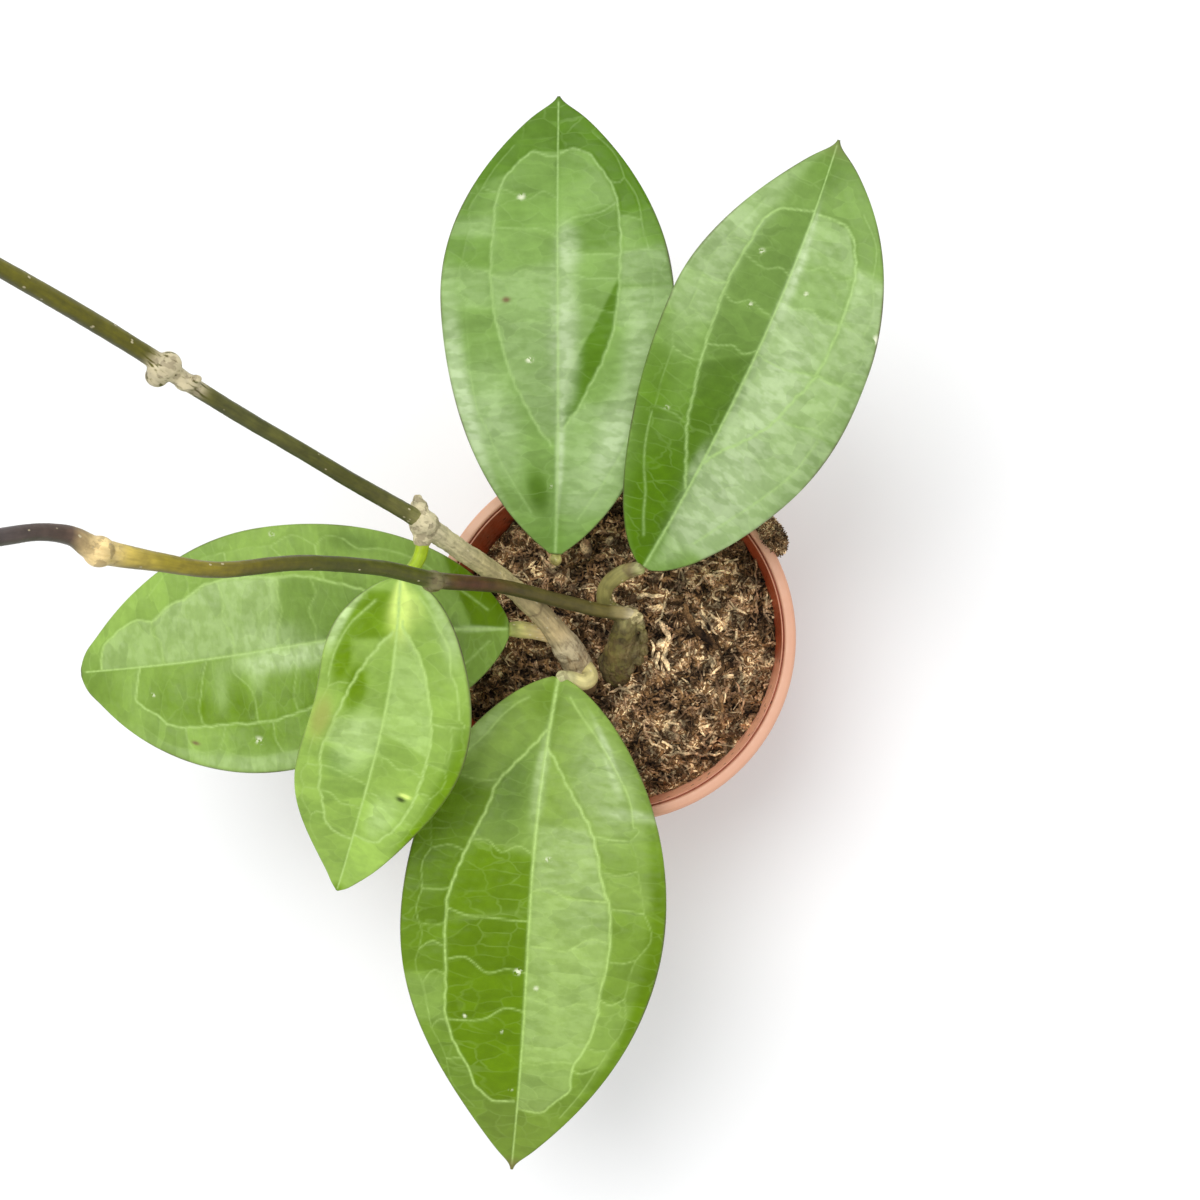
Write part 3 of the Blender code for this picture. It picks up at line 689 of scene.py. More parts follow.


# Of the kinds of patch and panel, the pale wax ones are partly painted sheen, the deep ones partly painted
# shade and the glow ones partly painted light shining through the blade.
BLADES = {
    "leaf_a": Blade(
        base=(-17, 26, 113), yaw=88.3, pitch=15, length=142.6, left=37.2, right=37.3, widest=.56,
        base_round=.77, tip_round=.92, arch=10, bend=1.2, sway=.3, fold_left=16, fold_right=14,
        curl=4, wave_left=(.012, .1), warmth=.05, vein_strength=.75, seed=3,
        left_side=[(.253, -.08), (.287, -.2), (.347, -.33), (.413, -.44), (.507, -.52), (.6, -.57),
            (.7, -.6), (.773, -.66), (.823, -.66), (.863, -.54), (.88, -.42), (.872, -.2), (.872, 0)],
        right_side=[(.293, .07), (.333, .2), (.38, .29), (.44, .41), (.507, .49), (.6, .54), (.687, .59),
            (.793, .66), (.847, .59), (.87, .53), (.885, .29), (.877, .05)],
        left_margin=[(.1, -.52), (.17, -.64), (.233, -.72), (.287, -.75), (.333, -.8), (.413, -.8)],
        right_margin=[(.09, .5), (.15, .62), (.22, .72), (.3, .78), (.38, .82), (.45, .84)],
        left_inner=[(.53, .51), (.62, .63), (.72, .7), (.8, .78)],
        right_inner=[(.54, .555), (.61, .61), (.66, .685), (.77, .72)],
        left_outer=[.41, .553, .63, .703, .79],
        right_outer=[.52, .59, .667, .74, .82],
        patches={
            "glow": [(.78, .95, .17, .2, .7), (.8, -.95, .14, .2, .5), (.15, -.3, .06, .2, .5),
                (.03, 0, .05, .9, .4)],
            "bloom_and_sheen": [(.48, .06, .16, .13, 1), (.68, .1, .05, .12, .6), (.22, .03, .13, .06, .9),
                (.28, .62, .09, .2, .9), (.45, .72, .1, .14, .6), (.16, .45, .1, .4, .25),
                (.36, -.93, .2, .1, 1), (.3, -.65, .12, .25, .5)],
            "deep": [(.15, -.3, .05, .17, 1)],
            "white": [(.44, -.26, .006, .03, 1), (.783, -.4, .006, .04, .9), (.16, -.1, .004, .02, .9)],
            "brown": [(.568, -.44, .006, .035, 1)],
            "dent": [(.38, .22, .07, .1, -.5), (.45, .5, .08, .14, .35)]},
        panels={
            ("bloom_and_sheen", "left inner"): [(.27, .27, .62, .65, .25)],
            ("glow", "left inner"): [(.71, .73, .9, .9, .2)],
            ("glow", "right inner"): [(.27, .3, .62, .31, .9), (.68, .66, .77, .72, .45),
                (.84, .8, .9, .9, .2)],
            ("deep", "right inner"): [(.27, .3, .5, .31, .4)],
            ("bloom_and_sheen", "right outer"): [(.1, .1, .35, .33, .25), (.6, .6, .667, .68, .3),
                (.52, .5, .59, .6, .3)],
            ("bloom_and_sheen", "left outer"): [(.553, .55, .63, .64, .2), (.7, .7, .74, .74, .2)],
            ("glow", "left outer"): [(.63, .64, .7, .7, .35), (.83, .8, 1.1, 1.1, .75)],
            ("deep", "left outer"): [(.41, .41, .553, .55, .3)],
            ("deep", "right outer"): [(.35, .33, .5, .45, .25)],
            ("glow", "right outer"): [(.74, .76, 1.1, 1.1, .85)]}),
    "leaf_b": Blade(
        base=(11.3, 21.8, 112), yaw=63.8, pitch=18.4, length=145.4, left=33.3, right=36, widest=.6,
        base_round=.64, tip_round=1.03, arch=10, bend=5.1, sway=-.3, fold_left=26, fold_right=18,
        curl=4, wave_left=(.015, .48), wave_right=(.048, -.34), light=.97, warmth=.12, seed=11,
        left_side=[(.213, -.07), (.267, -.2), (.347, -.37), (.413, -.42), (.477, -.48), (.567, -.52),
            (.667, -.56), (.75, -.58), (.8, -.6), (.83, -.5), (.85, -.02)],
        right_side=[(.28, .02), (.32, .12), (.37, .28), (.43, .42), (.5, .5), (.55, .57), (.66, .62),
            (.72, .65), (.77, .67), (.835, .55), (.847, .08)],
        left_margin=[(.073, -.45), (.12, -.55), (.167, -.6), (.22, -.71), (.273, -.77), (.34, -.79)],
        right_margin=[(.12, .6), (.2, .68), (.267, .75), (.32, .8), (.367, .83), (.44, .84)],
        left_inner=[(.517, .547), (.63, .62), (.72, .71)],
        right_inner=[(.55, .54), (.66, .66), (.75, .74)],
        left_outer=[.345, .48, .56, .65, .74],
        right_outer=[.445, .555, .66, .77],
        patches={
            # Painted shade on the left half, which turns away from the light.
            "deep": [(.13, -.35, .2, .4, 1.2), (.45, .04, .16, .05, .8)],
            "glow": [(.12, -.5, .24, .6, 1.1), (.4, -.85, .12, .2, .5), (.42, -.2, .12, .25, .5),
                (.45, .95, .22, .1, .9), (.95, 0, .05, .9, .3)],
            # The bright right half is partly painted sheen, where that half faces the light.
            "bloom_and_sheen": [(.8, -.85, .14, .3, .5), (.6, -.75, .12, .2, .3), (.2, .4, .14, .38, 1.1),
                (.45, .28, .16, .2, .9), (.76, .04, .1, .05, .6), (.7, .05, .14, .07, .8),
                (.27, -.06, .05, .08, .5)],
            "brown": [(1, 0, .035, 3, .3)],
            "white": [(.737, -.41, .005, .03, .8), (.627, -.26, .005, .02, .8), (.36, -.64, .004, .03, .7),
                (.69, .22, .004, .02, .8), (.66, .98, .008, .03, 1)],
            "dent": [(.5, -.3, .1, .14, -.35), (.35, .4, .12, .2, .3)]},
        panels={
            # Painted shade on the left half, which turns away from the light.
            ("deep", "left inner"): [(.15, .15, .48, .54, .8), (.48, .54, .63, .62, .5),
                (.63, .62, .86, .86, .5)],
            ("bloom_and_sheen", "right inner"): [(.28, .28, .55, .54, .6), (.55, .54, .66, .66, .55),
                (.66, .66, .75, .74, .2), (.75, .74, .86, .85, .35)],
            ("bloom_and_sheen", "right outer"): [(.555, .56, .77, .76, .5), (.445, .45, .555, .56, .5),
                (.12, .1, .445, .45, .6)],
            ("bloom_and_sheen", "left outer"): [(.56, .56, .8, .8, .3)],
            ("glow", "left outer"): [(.345, .34, .48, .48, .35)]}),
    "leaf_c": Blade(
        base=(-32.7, 2.4, 105), yaw=186.1, pitch=7.1, length=137.5, left=39.4, right=39.6, widest=.54,
        base_round=.64, tip_round=.77, arch=9, bend=1, sway=1.3, fold_left=12, fold_right=14,
        curl=5, wave_left=(.012, .3), light=1.05, warmth=.4, beak=-.35, seed=5,
        left_side=[(.2, -.08), (.27, -.26), (.37, -.44), (.473, -.53), (.56, -.58), (.667, -.59),
            (.733, -.63), (.793, -.67), (.813, -.61), (.863, -.51), (.867, -.37), (.857, 0)],
        right_side=[(.2, .07), (.26, .27), (.333, .42), (.393, .49), (.453, .56), (.52, .58), (.6, .63),
            (.68, .65), (.733, .59), (.767, .6), (.817, .51), (.85, .62), (.9, .64), (.935, .57),
            (.945, .35), (.948, .05)],
        left_margin=[(.05, -.32), (.073, -.43), (.103, -.54), (.17, -.66), (.25, -.76), (.35, -.8)],
        right_margin=[(.053, .47), (.1, .58), (.16, .7), (.22, .8), (.287, .82), (.327, .79), (.36, .88)],
        left_inner=[(.51, .5), (.603, .64), (.72, .7)],
        right_inner=[(.44, .45), (.51, .53), (.65, .64), (.817, .8)],
        left_outer=[.46, .567, .673, .76],
        right_outer=[.41, .5, .62, .72],
        patches={
            "glow": [(.5, -.45, .2, .3, .45), (.7, -.5, .12, .12, .5), (.95, -.5, .06, .6, .4),
                (.58, -.72, .05, .12, .4), (.72, -.33, .02, .2, .5), (.635, -.35, .022, .16, .5),
                (.8, -.3, .02, .2, .3)],
            "bloom_and_sheen": [(.5, -.08, .13, .12, 1), (.56, .12, .08, .1, .6), (.5, -.93, .3, .08, .5),
                (.06, 0, .07, .07, .8), (.675, -.3, .015, .2, .2), (.59, -.2, .02, .14, .3)],
            "brown": [(.742, -.79, .009, .02, .9)],
            "white": [(.605, -.73, .008, .03, .8), (.827, -.36, .004, .02, .8), (.508, .93, .005, .02, .8)],
            "deep": [(.34, .85, .06, .1, .5)],
            "dent": [(.58, -.2, .04, .2, -.35), (.7, -.25, .05, .2, -.3), (.48, -.15, .03, .2, .3)]},
        panels={
            ("glow", "right outer"): [(.01, .01, .085, .15, 1)],
            ("deep", "right outer"): [(.01, .01, .085, .15, .7)],
            ("bloom_and_sheen", "right inner"): [(.51, .53, .817, .8, .5), (.817, .8, .95, .95, .4)],
            ("deep", "right inner"): [(.3, .3, .51, .53, .4)],
            ("glow", "left inner"): [(.3, .3, .86, .86, .25)],
            ("glow", "left outer"): [(.02, .02, .1, .12, .3)],
            ("deep", "left outer"): [(.567, .56, .673, .66, .3)]}),
    "leaf_d": Blade(
        base=(-61.1, 15.4, 148), yaw=255.7, pitch=-16.8, length=103.8, left=27.1, right=25.5, widest=.38,
        base_round=.59, tip_round=.92, arch=10, bend=-5.3, sway=-.7, fold_left=14, fold_right=22,
        curl=3, wave_left=(-.06, .05), wave_right=(.105, .19), light=1.23, warmth=.48, vein_strength=1.25,
        beak=-.3, seed=8,
        left_side=[(.12, -.08), (.153, -.17), (.18, -.28), (.22, -.38), (.267, -.45), (.333, -.51),
            (.413, -.57), (.493, -.6), (.567, -.64), (.62, -.66), (.7, -.66), (.74, -.59), (.777, -.46),
            (.783, -.05)],
        right_side=[(.15, .07), (.183, .21), (.247, .39), (.313, .53), (.373, .61), (.44, .67), (.527, .71),
            (.6, .66), (.653, .64), (.693, .58), (.76, .53), (.79, .3), (.8, .04)],
        left_margin=[(.053, -.58), (.087, -.67), (.133, -.74), (.187, -.82), (.24, -.78), (.273, -.84),
            (.35, -.86)],
        right_margin=[(.067, .53), (.107, .66), (.14, .75), (.233, .84), (.3, .86)],
        left_inner=[(.383, .38), (.467, .44), (.533, .51), (.645, .64)],
        right_inner=[(.427, .4), (.503, .517), (.657, .693), (.58, .613)],
        left_outer=[.38, .487, .58, .667],
        right_outer=[.317, .42, .5, .58, .655, .73],
        patches={
            "glow": [(.24, .72, .08, .14, 1.2), (.33, .46, .08, .15, 1.3), (.1, .45, .06, .2, .5),
                (.99, 0, .025, .9, .9), (.55, -.95, .2, .13, .9), (.72, -.95, .06, .12, .5)],
            "deep": [(.25, .72, .05, .08, .5), (.33, .47, .06, .12, .8), (.56, .45, .05, .18, .5),
                (.5, -.9, .15, .12, .6)],
            "bloom_and_sheen": [(.48, .3, .1, .3, .5), (.13, .92, .09, .1, 1), (.69, -.35, .07, .22, .5),
                (.12, -.85, .1, .15, .6)],
            "stain": [(.43, .85, .07, .14, .8)],
            "pale": [(.06, -.05, .1, .24, 1.25), (.07, -.4, .05, .2, .4), (.598, -.53, .007, .08, 1.2)],
            "slit": [(.612, -.5, .007, .07, 1)],
            "dent": [(.29, .42, .07, .12, -.5), (.4, .75, .1, .12, .4)]},
        panels={
            ("deep", "right inner"): [(.62, .6, .7, .65, .35), (.503, .517, .61, .6, .3)],
            ("bloom_and_sheen", "left inner"): [(.15, .15, .467, .44, .3)],
            ("glow", "right outer"): [(.04, .04, .17, .19, .9)],
            ("bloom_and_sheen", "right inner"): [(.427, .4, .503, .517, .3)],
            ("glow", "left outer"): [(.487, .5, .58, .58, .3)],
            ("deep", "right outer"): [(.7, .7, .76, .78, .3)]}),
    "leaf_e": Blade(
        base=(-16.5, -13.3, 106), yaw=264.4, pitch=-2.2, length=157.9, left=44, right=41.8, widest=.47,
        base_round=.68, tip_round=1.05, arch=12, bend=.7, sway=1, fold_left=12, fold_right=14,
        curl=5, wave_right=(.012, .2), light=.97, warmth=.52, vein_strength=1.1, seed=21,
        left_side=[(.143, -.01), (.173, -.13), (.22, -.26), (.267, -.38), (.317, -.47), (.407, -.53),
            (.453, -.59), (.547, -.61), (.62, -.6), (.673, -.63), (.727, -.62), (.773, -.58), (.817, -.67),
            (.837, -.58), (.867, -.43), (.867, 0)],
        right_side=[(.11, .04), (.153, .2), (.22, .41), (.273, .45), (.353, .55), (.433, .63), (.5, .65),
            (.593, .65), (.673, .71), (.733, .71), (.793, .63), (.823, .63), (.853, .43), (.853, .05)],
        left_margin=[(.04, -.4), (.073, -.51), (.113, -.64), (.167, -.74), (.227, -.81), (.287, -.8)],
        right_margin=[(.053, .58), (.067, .68), (.1, .75), (.133, .76), (.18, .86)],
        left_inner=[(.44, .43), (.52, .54), (.65, .64), (.76, .773)],
        right_inner=[(.34, .36), (.47, .49), (.57, .593), (.69, .67)],
        left_outer=[.31, .38, .453, .555, .63, .723, .773],
        right_outer=[.22, .36, .433, .5, .545, .6, .69, .77],
        patches={
            "glow": [(.55, -.95, .35, .08, 1), (.42, .5, .06, .2, .8), (.04, .2, .05, .4, .6),
                (.6, .5, .1, .15, .5)],
            # Painted shade on the right half, from leaf_d above it and from the folds.
            "deep": [(.33, .75, .14, .22, .7), (.23, .28, .1, .2, .5)],
            "bloom_and_sheen": [(.2, .02, .1, .07, 1), (.265, -.85, .012, .25, 1), (.15, -.72, .07, .06, .9),
                (.2, -.6, .12, .3, .45), (.13, .85, .05, .15, .5)],
            "brown": [(.93, 0, .1, 1.5, .12), (.995, 0, .02, 3, .6)],
            "white": [(.59, .07, .006, .03, 1), (.365, -.12, .004, .03, .8), (.62, -.09, .004, .02, .8),
                (.682, .54, .004, .015, 1), (.83, .12, .002, .03, .8), (.71, .21, .003, .012, .8),
                (.72, -.12, .003, .01, .8)],
            "dent": [(.26, -.8, .02, .2, .45), (.3, .2, .1, .2, -.25)]},
        panels={
            ("glow", "right inner"): [(.49, .47, .87, .86, 1), (.34, .36, .49, .47, .95)],
            ("glow", "right outer"): [(.433, .43, .6, .6, .85), (.24, .22, .433, .43, .8),
                (.7, .69, 1.1, 1.1, .5)],
            # Painted shade from leaf_d above and from the folds.
            ("deep", "right outer"): [(.433, .43, .545, .55, .6), (.36, .35, .433, .43, .5),
                (.6, .6, 1.1, 1.1, .35)],
            ("bloom_and_sheen", "left inner"): [(.44, .43, .76, .773, .35), (.3, .3, .44, .43, .45),
                (.76, .773, .87, .87, .2)],
            ("glow", "left outer"): [(.453, .45, .63, .64, .5), (.31, .3, .38, .4, .3),
                (.77, .76, 1.1, 1.1, .5)],
            ("deep", "right inner"): [(.1, .1, .34, .36, .3)]}),
}
NET_STRENGTH = 0.14     # of the fine net between the veins
WHITE_FLECK = screen_colour(222, 228, 196)
BROWN_FLECK = screen_colour(112, 92, 62)
STAIN = screen_colour(150, 156, 78)
PALE = screen_colour(190, 212, 112)
# Cooler colour of the vivid patches, which are partly painted glow of light through the blade.
COOL_GLOW = screen_colour(74, 114, 0)
WARM_GREEN = screen_colour(142, 168, 60)
# Warmer colour of the pale patches, which are partly painted sheen.
WARM_BLOOM_AND_SHEEN = screen_colour(160, 188, 100)
WARM_VEIN = screen_colour(180, 208, 108)
SLIT = screen_colour(52, 66, 22)


def half_width(blade, along, side):
    """Half widths in millimetres along one side, and the outline's share of its widest."""
    toward_tip = along >= blade.widest
    reach = np.where(toward_tip, (1.0 - along) / (1.0 - blade.widest), along / blade.widest)
    rounding = np.where(toward_tip, blade.tip_round, blade.base_round)
    shape = np.clip(reach * (2.0 - reach), 0.0, 1.0) ** rounding
    share, phase = blade.wave_left if side < 0 else blade.wave_right
    wave = 1.0 + share * np.sin(math.tau * (1.5 * along + phase))
    wave = wave * (1.0 - blade.beak * np.exp(-((1.0 - along) * blade.length / 3.6) ** 2))
    widest = blade.left if side < 0 else blade.right
    least = BASE_HALF_WIDTH * (1.0 - along) + TIP_HALF_WIDTH * along
    return np.hypot(widest * shape * wave, least), shape


def midrib(blade, along):
    hump = 4.0 * along * (1.0 - along)
    across = -blade.bend * hump - blade.sway * np.sin(math.tau * along)
    return np.stack([blade.length * along, across, blade.arch * hump], axis=-1)


def unit(vectors):
    return vectors / np.linalg.norm(vectors, axis=-1, keepdims=True)


def middle_surface(blade, along, across):
    """The blade's middle surface on a grid of along by across, and its half widths."""
    step = 0.001
    heading = unit(midrib(blade, along + step) - midrib(blade, along - step))
    right = unit(np.cross(heading, (0.0, 0.0, 1.0)))
    up = np.cross(right, heading)
    left_half, left_shape = half_width(blade, along, -1)
    right_half, right_shape = half_width(blade, along, 1)
    on_left = across[None, :] < 0.0
    half = np.where(on_left, left_half[:, None], right_half[:, None])
    shape = np.where(on_left, left_shape[:, None], right_shape[:, None])
    fold = np.radians(np.where(on_left, blade.fold_left, blade.fold_right))
    distance = np.abs(across)[None, :] * half
    crease = 1.2    # the fold at the midrib is rounded over this distance
    rise = (np.hypot(distance, crease) - crease) * np.sin(fold) - blade.curl * across[None, :] ** 2 * shape
    aside = np.sign(across)[None, :] * distance * np.cos(fold)
    sideways = right[:, None, :] * aside[..., None]
    upward = up[:, None, :] * rise[..., None]
    return midrib(blade, along)[:, None, :] + sideways + upward, half


def flat_route(blade, route):
    """A vein's route laid out flat, in millimetres along and across the blade."""
    points = smooth_route([(along, across, 0.0) for along, across in route], 0.02)
    along = np.clip(points[:, 0], 0.0, 1.0)
    left_half, _ = half_width(blade, along, -1)
    right_half, _ = half_width(blade, along, 1)
    half = np.where(points[:, 1] < 0.0, left_half, right_half)
    return np.column_stack([along * blade.length, points[:, 1] * half])


def side_vein_place(route, along):
    """How far across a long side vein runs at a place along the blade."""
    peak = int(np.argmax([point[0] for point in route])) + 1
    route = np.array(route[:peak])
    return np.interp(along, route[:, 0], np.abs(route[:, 1]))


def vein_routes(blade):
    """Every vein as (flat route, width at its start and end in millimetres, strength)."""
    rng = np.random.default_rng(blade.seed)
    middle = flat_route(blade, [(along, 0.0) for along in (-0.01, 0.25, 0.5, 0.75, 0.985)])
    veins = [(middle, 1.1, 0.3, 0.9)]
    for side, long_vein, margin, inner, outer in (
            (-1, blade.left_side, blade.left_margin, blade.left_inner, blade.left_outer),
            (1, blade.right_side, blade.right_margin, blade.right_inner, blade.right_outer)):
        kinked = flat_route(blade, long_vein)
        kinked[:, 1] += 0.22 * np.sin(1.3 * kinked[:, 0] + blade.seed) + 0.14 * np.sin(2.9 * kinked[:, 0])
        veins.append((kinked, 0.6, 0.3, 0.85))
        veins.append((flat_route(blade, margin), 0.6, 0.25, 0.5))
        for start, end in inner:
            reach = float(side_vein_place(long_vein, start))
            route = []
            for share in (0.0, 0.25, 0.5, 0.75, 1.0):
                jitter = rng.uniform(-0.012, 0.012) * (0.0 < share < 1.0)
                route.append((start + (end - start) * share + jitter, side * reach * (1.0 - share)))
            veins.append((flat_route(blade, route), 0.2, 0.15, rng.uniform(0.35, 0.6)))
        scallops = [margin[-1]]
        for place in outer:
            reach = float(side_vein_place(long_vein, place))
            rim = reach + (0.97 - reach) * rng.uniform(0.55, 0.7)
            lean = rng.uniform(-0.012, 0.022)
            route = [(place, side * reach), (place + rng.uniform(-0.01, 0.01), side * (reach + rim) / 2.0),
                     (place + lean, side * rim)]
            veins.append((flat_route(blade, route), 0.2, 0.1, rng.uniform(0.35, 0.6)))
            scallops.append((place + lean, side * rim))
        scallops.append((min(outer[-1] + 0.1, 0.95), side * 0.8))
        for (a, across_a), (b, across_b) in zip(scallops, scallops[1:]):
            bulge = side * min(max(abs(across_a), abs(across_b)) + rng.uniform(-0.03, 0.08), 0.95)
            route = [(a, across_a), ((a + b) / 2.0 + rng.uniform(-0.01, 0.01), bulge), (b, across_b)]
            veins.append((flat_route(blade, route), 0.1, 0.1, rng.uniform(0.15, 0.42)))
    return veins


def distance_to(route, x, y):
    """Distance of each grid point to a flat route, and how far along it the nearest place is, 0 to 1."""
    lengths = np.hypot(*(route[1:] - route[:-1]).T)
    total = lengths.sum()
    nearest = np.full(x.shape, 1000.0)
    place = np.zeros(x.shape)
    passed = 0.0
    for start, end, span in zip(route[:-1], route[1:], lengths):
        if span < 1e-6:
            continue
        run = (end - start) / span
        t = np.clip((x - start[0]) * run[0] + (y - start[1]) * run[1], 0.0, span)
        distance = np.hypot(x - start[0] - run[0] * t, y - start[1] - run[1] * t)
        closer = distance < nearest
        nearest = np.where(closer, distance, nearest)
        place = np.where(closer, (passed + t) / total, place)
        passed += span
    return nearest, place


def vein_fields(blade, x, y):
    """How strongly each point is a vein, how deep it lies in a groove, and its distance to a vein."""
    mask = np.zeros(x.shape)
    groove = np.zeros(x.shape)
    nearest = np.full(x.shape, 1000.0)
    for route, start_width, end_width, strength in vein_routes(blade):
        distance, place = distance_to(route, x, y)
        width = start_width + (end_width - start_width) * place
        mask = np.maximum(mask, strength * np.exp(-(distance / (0.5 * width + 0.2)) ** 2))
        groove = np.maximum(groove, strength * np.exp(-(distance / (0.9 * width + 0.35)) ** 2))
        nearest = np.minimum(nearest, distance)
    return mask, groove, nearest


def zone_place(blade, zone, along, across):
    """How far each point lies inside a zone, and its share of the way from midrib or vein outwards."""
    side = -1 if zone.startswith("left") else 1
    long_vein = blade.left_side if side < 0 else blade.right_side
    vein = side_vein_place(long_vein, along)
    vein = np.where((along < long_vein[0][0]) | (along > max(point[0] for point in long_vein)), 0.0, vein)
    reach = across * side
    if zone.endswith("inner"):
        return np.minimum(reach, vein - reach), np.clip(1.0 - reach / np.maximum(vein, 0.01), 0.0, 1.0)
    return reach - np.maximum(vein, 0.0), np.clip((reach - vein) / (1.0 - vein), 0.0, 1.0)


def step_up(value, softness):
    return 1.0 / (1.0 + np.exp(-np.clip(value / softness, -30.0, 30.0)))


def panel_field(blade, kind, along, across):
    """The blade's panels of one kind, which end sharply at the veins round them."""
    total = np.zeros(along.shape)
    for (panel_kind, zone), panels in blade.panels.items():
        if panel_kind != kind:
            continue
        inside, share = zone_place(blade, zone, along, across)
        for vein_start, start, vein_end, end, strength in panels:
            low = vein_start + (start - vein_start) * share
            high = vein_end + (end - vein_end) * share
            within = step_up(inside, 0.010) * step_up(along - low, 0.0035) * step_up(high - along, 0.0035)
            total = np.maximum(total, strength * within)
    return total


def panel_tones(blade, along, across):
    """A tone for each panel between the cross veins, from 0 to 1."""
    rng = np.random.default_rng(blade.seed + 50)
    tones = np.full(along.shape, 0.5)
    for zone, inner, outer in (("left", blade.left_inner, blade.left_outer),
                               ("right", blade.right_inner, blade.right_outer)):
        inside, share = zone_place(blade, zone + " inner", along, across)
        outside, _ = zone_place(blade, zone + " outer", along, across)
        inner_count = sum((along > start + (end - start) * share).astype(int) for start, end in inner)
        outer_count = sum((along > place).astype(int) for place in outer)
        inner_tones = rng.uniform(0.15, 0.85, len(inner) + 1)
        outer_tones = rng.uniform(0.15, 0.85, len(outer) + 1)
        tones = np.where(inside > 0.0, inner_tones[inner_count], tones)
        tones = np.where(outside > 0.0, outer_tones[outer_count], tones)
    return tones


def patch_field(blade, kind, along, across):
    """The sum of the blade's patches of one kind, with soft edges."""
    total = np.zeros(along.shape)
    for place, aside, long, wide, strength in blade.patches.get(kind, ()):
        spread = ((along - place) / long) ** 2 + ((across - aside) / wide) ** 2
        total += strength * np.exp(-spread ** 1.5)
    return total if kind == "dent" else np.clip(total, 0.0, 1.0)


def edge_columns(blade, spacing):
    """Places across the blade, closer together at the two edges so that they round over."""
    width = (blade.left + blade.right) / 2.0
    inner = 1.0 - FINE_STEPS[-1] / width
    columns = np.linspace(-inner, inner, 2 * round(width / spacing) + 1)
    fine = np.array([1.0 - step / width for step in FINE_STEPS[:-1]][::-1] + [1.0])
    return np.concatenate([-fine[::-1], columns, fine])


def grid_faces(rows, columns):
    """Faces of a closed sheet: an upper and a lower grid that share their border."""
    upper = np.arange(rows * columns).reshape(rows, columns)
    lower = upper.copy()
    inner_count = (rows - 2) * (columns - 2)
    lower[1:-1, 1:-1] = rows * columns + np.arange(inner_count).reshape(rows - 2, columns - 2)
    top = np.stack([upper[:-1, :-1], upper[:-1, 1:], upper[1:, 1:], upper[1:, :-1]], axis=-1)
    bottom = np.stack([lower[:-1, :-1], lower[1:, :-1], lower[1:, 1:], lower[:-1, 1:]], axis=-1)
    return np.concatenate([top.reshape(-1, 4), bottom.reshape(-1, 4)]).tolist()


def make_leaf(name, settings):
    """A blade with sunken veins above, raised veins below, swollen panels and rounded edges."""
    blade = BLADES[name]
    spacing = settings.spacing / MM
    along = np.linspace(0.0, 1.0, round(blade.length / spacing) + 1)
    along = np.concatenate([[0.0, 0.0015, 0.004], along[2:-2], [0.997, 0.9988, 1.0]])
    across = edge_columns(blade, spacing)
    points, half = middle_surface(blade, along, across)
    normals = unit(np.cross(np.gradient(points, axis=1), np.gradient(points, axis=0)))
    grid_along, grid_across = np.meshgrid(along, across, indexing="ij")
    x = grid_along * blade.length
    y = grid_across * half
    vein, groove, nearest = vein_fields(blade, x, y)
    swell = 1.0 - np.exp(-nearest / 2.6)
    calm = np.clip(np.minimum(x, blade.length - x) / 12.0, 0.0, 1.0)
    cross_ripples = ripples(x, y, 4.6, blade.seed, stretch=0.55)
    broad_ripples = ripples(x, y, 19.0, blade.seed + 1)
    relief = settings.quilting / MM * swell * (0.75 + 0.5 * cross_ripples) + 0.35 * broad_ripples
    relief = relief + patch_field(blade, "dent", grid_along, grid_across)
    from_edge = np.minimum((1.0 - np.abs(grid_across)) * half, np.minimum(x, blade.length - x))
    rounding = np.clip(from_edge / EDGE_ROUNDING, 0.0, 1.0)
    thinner = 1.0 - 0.2 * grid_across ** 2
    body = settings.thickness / MM / 2.0 * thinner * np.sqrt(1.0 - (1.0 - rounding) ** 2)
    shared = relief * calm * rounding
    upper = shared + body - settings.vein_depth / MM * groove * calm * rounding
    midrib_ridge = 0.9 * (1.0 - 0.8 * grid_along) * np.exp(-(y / 1.5) ** 2)
    lower = shared - body - (0.8 * settings.vein_depth / MM * groove + midrib_ridge) * rounding
    top = points + normals * upper[..., None]
    bottom = (points + normals * lower[..., None])[1:-1, 1:-1]
    local = np.concatenate([top.reshape(-1, 3), bottom.reshape(-1, 3)])
    turn = np.array(Euler((0.0, -math.radians(blade.pitch), math.radians(blade.yaw))).to_matrix())
    mesh = make_mesh(name, (local @ turn.T + np.array(blade.base)) * MM, grid_faces(*x.shape))

    def both_faces(values):
        return np.concatenate([values.ravel(), values[1:-1, 1:-1].ravel()])

    add_values(mesh, "vein", both_faces(vein))
    add_values(mesh, "tone", both_faces(panel_tones(blade, grid_along, grid_across)))
    for kind in ("glow", "deep", "bloom_and_sheen", "pale", "white", "brown", "stain", "slit"):
        patches = patch_field(blade, kind, grid_along, grid_across)
        panels = panel_field(blade, kind, grid_along, grid_across)
        add_values(mesh, kind, both_faces(1.0 - (1.0 - patches) * (1.0 - panels)))
    add_values(mesh, "edge", both_faces(np.exp(-(from_edge / 0.45) ** 2)))
    add_values(mesh, "under", np.concatenate([np.zeros(x.size), np.ones(bottom.size // 3)]))
    add_values(mesh, "flat_place", np.stack([both_faces(x), both_faces(y), both_faces(x * 0.0 + blade.seed)],
                                            axis=-1) * MM, "FLOAT_VECTOR")
    shade(mesh)
    return link_object(name + "_blade", mesh)


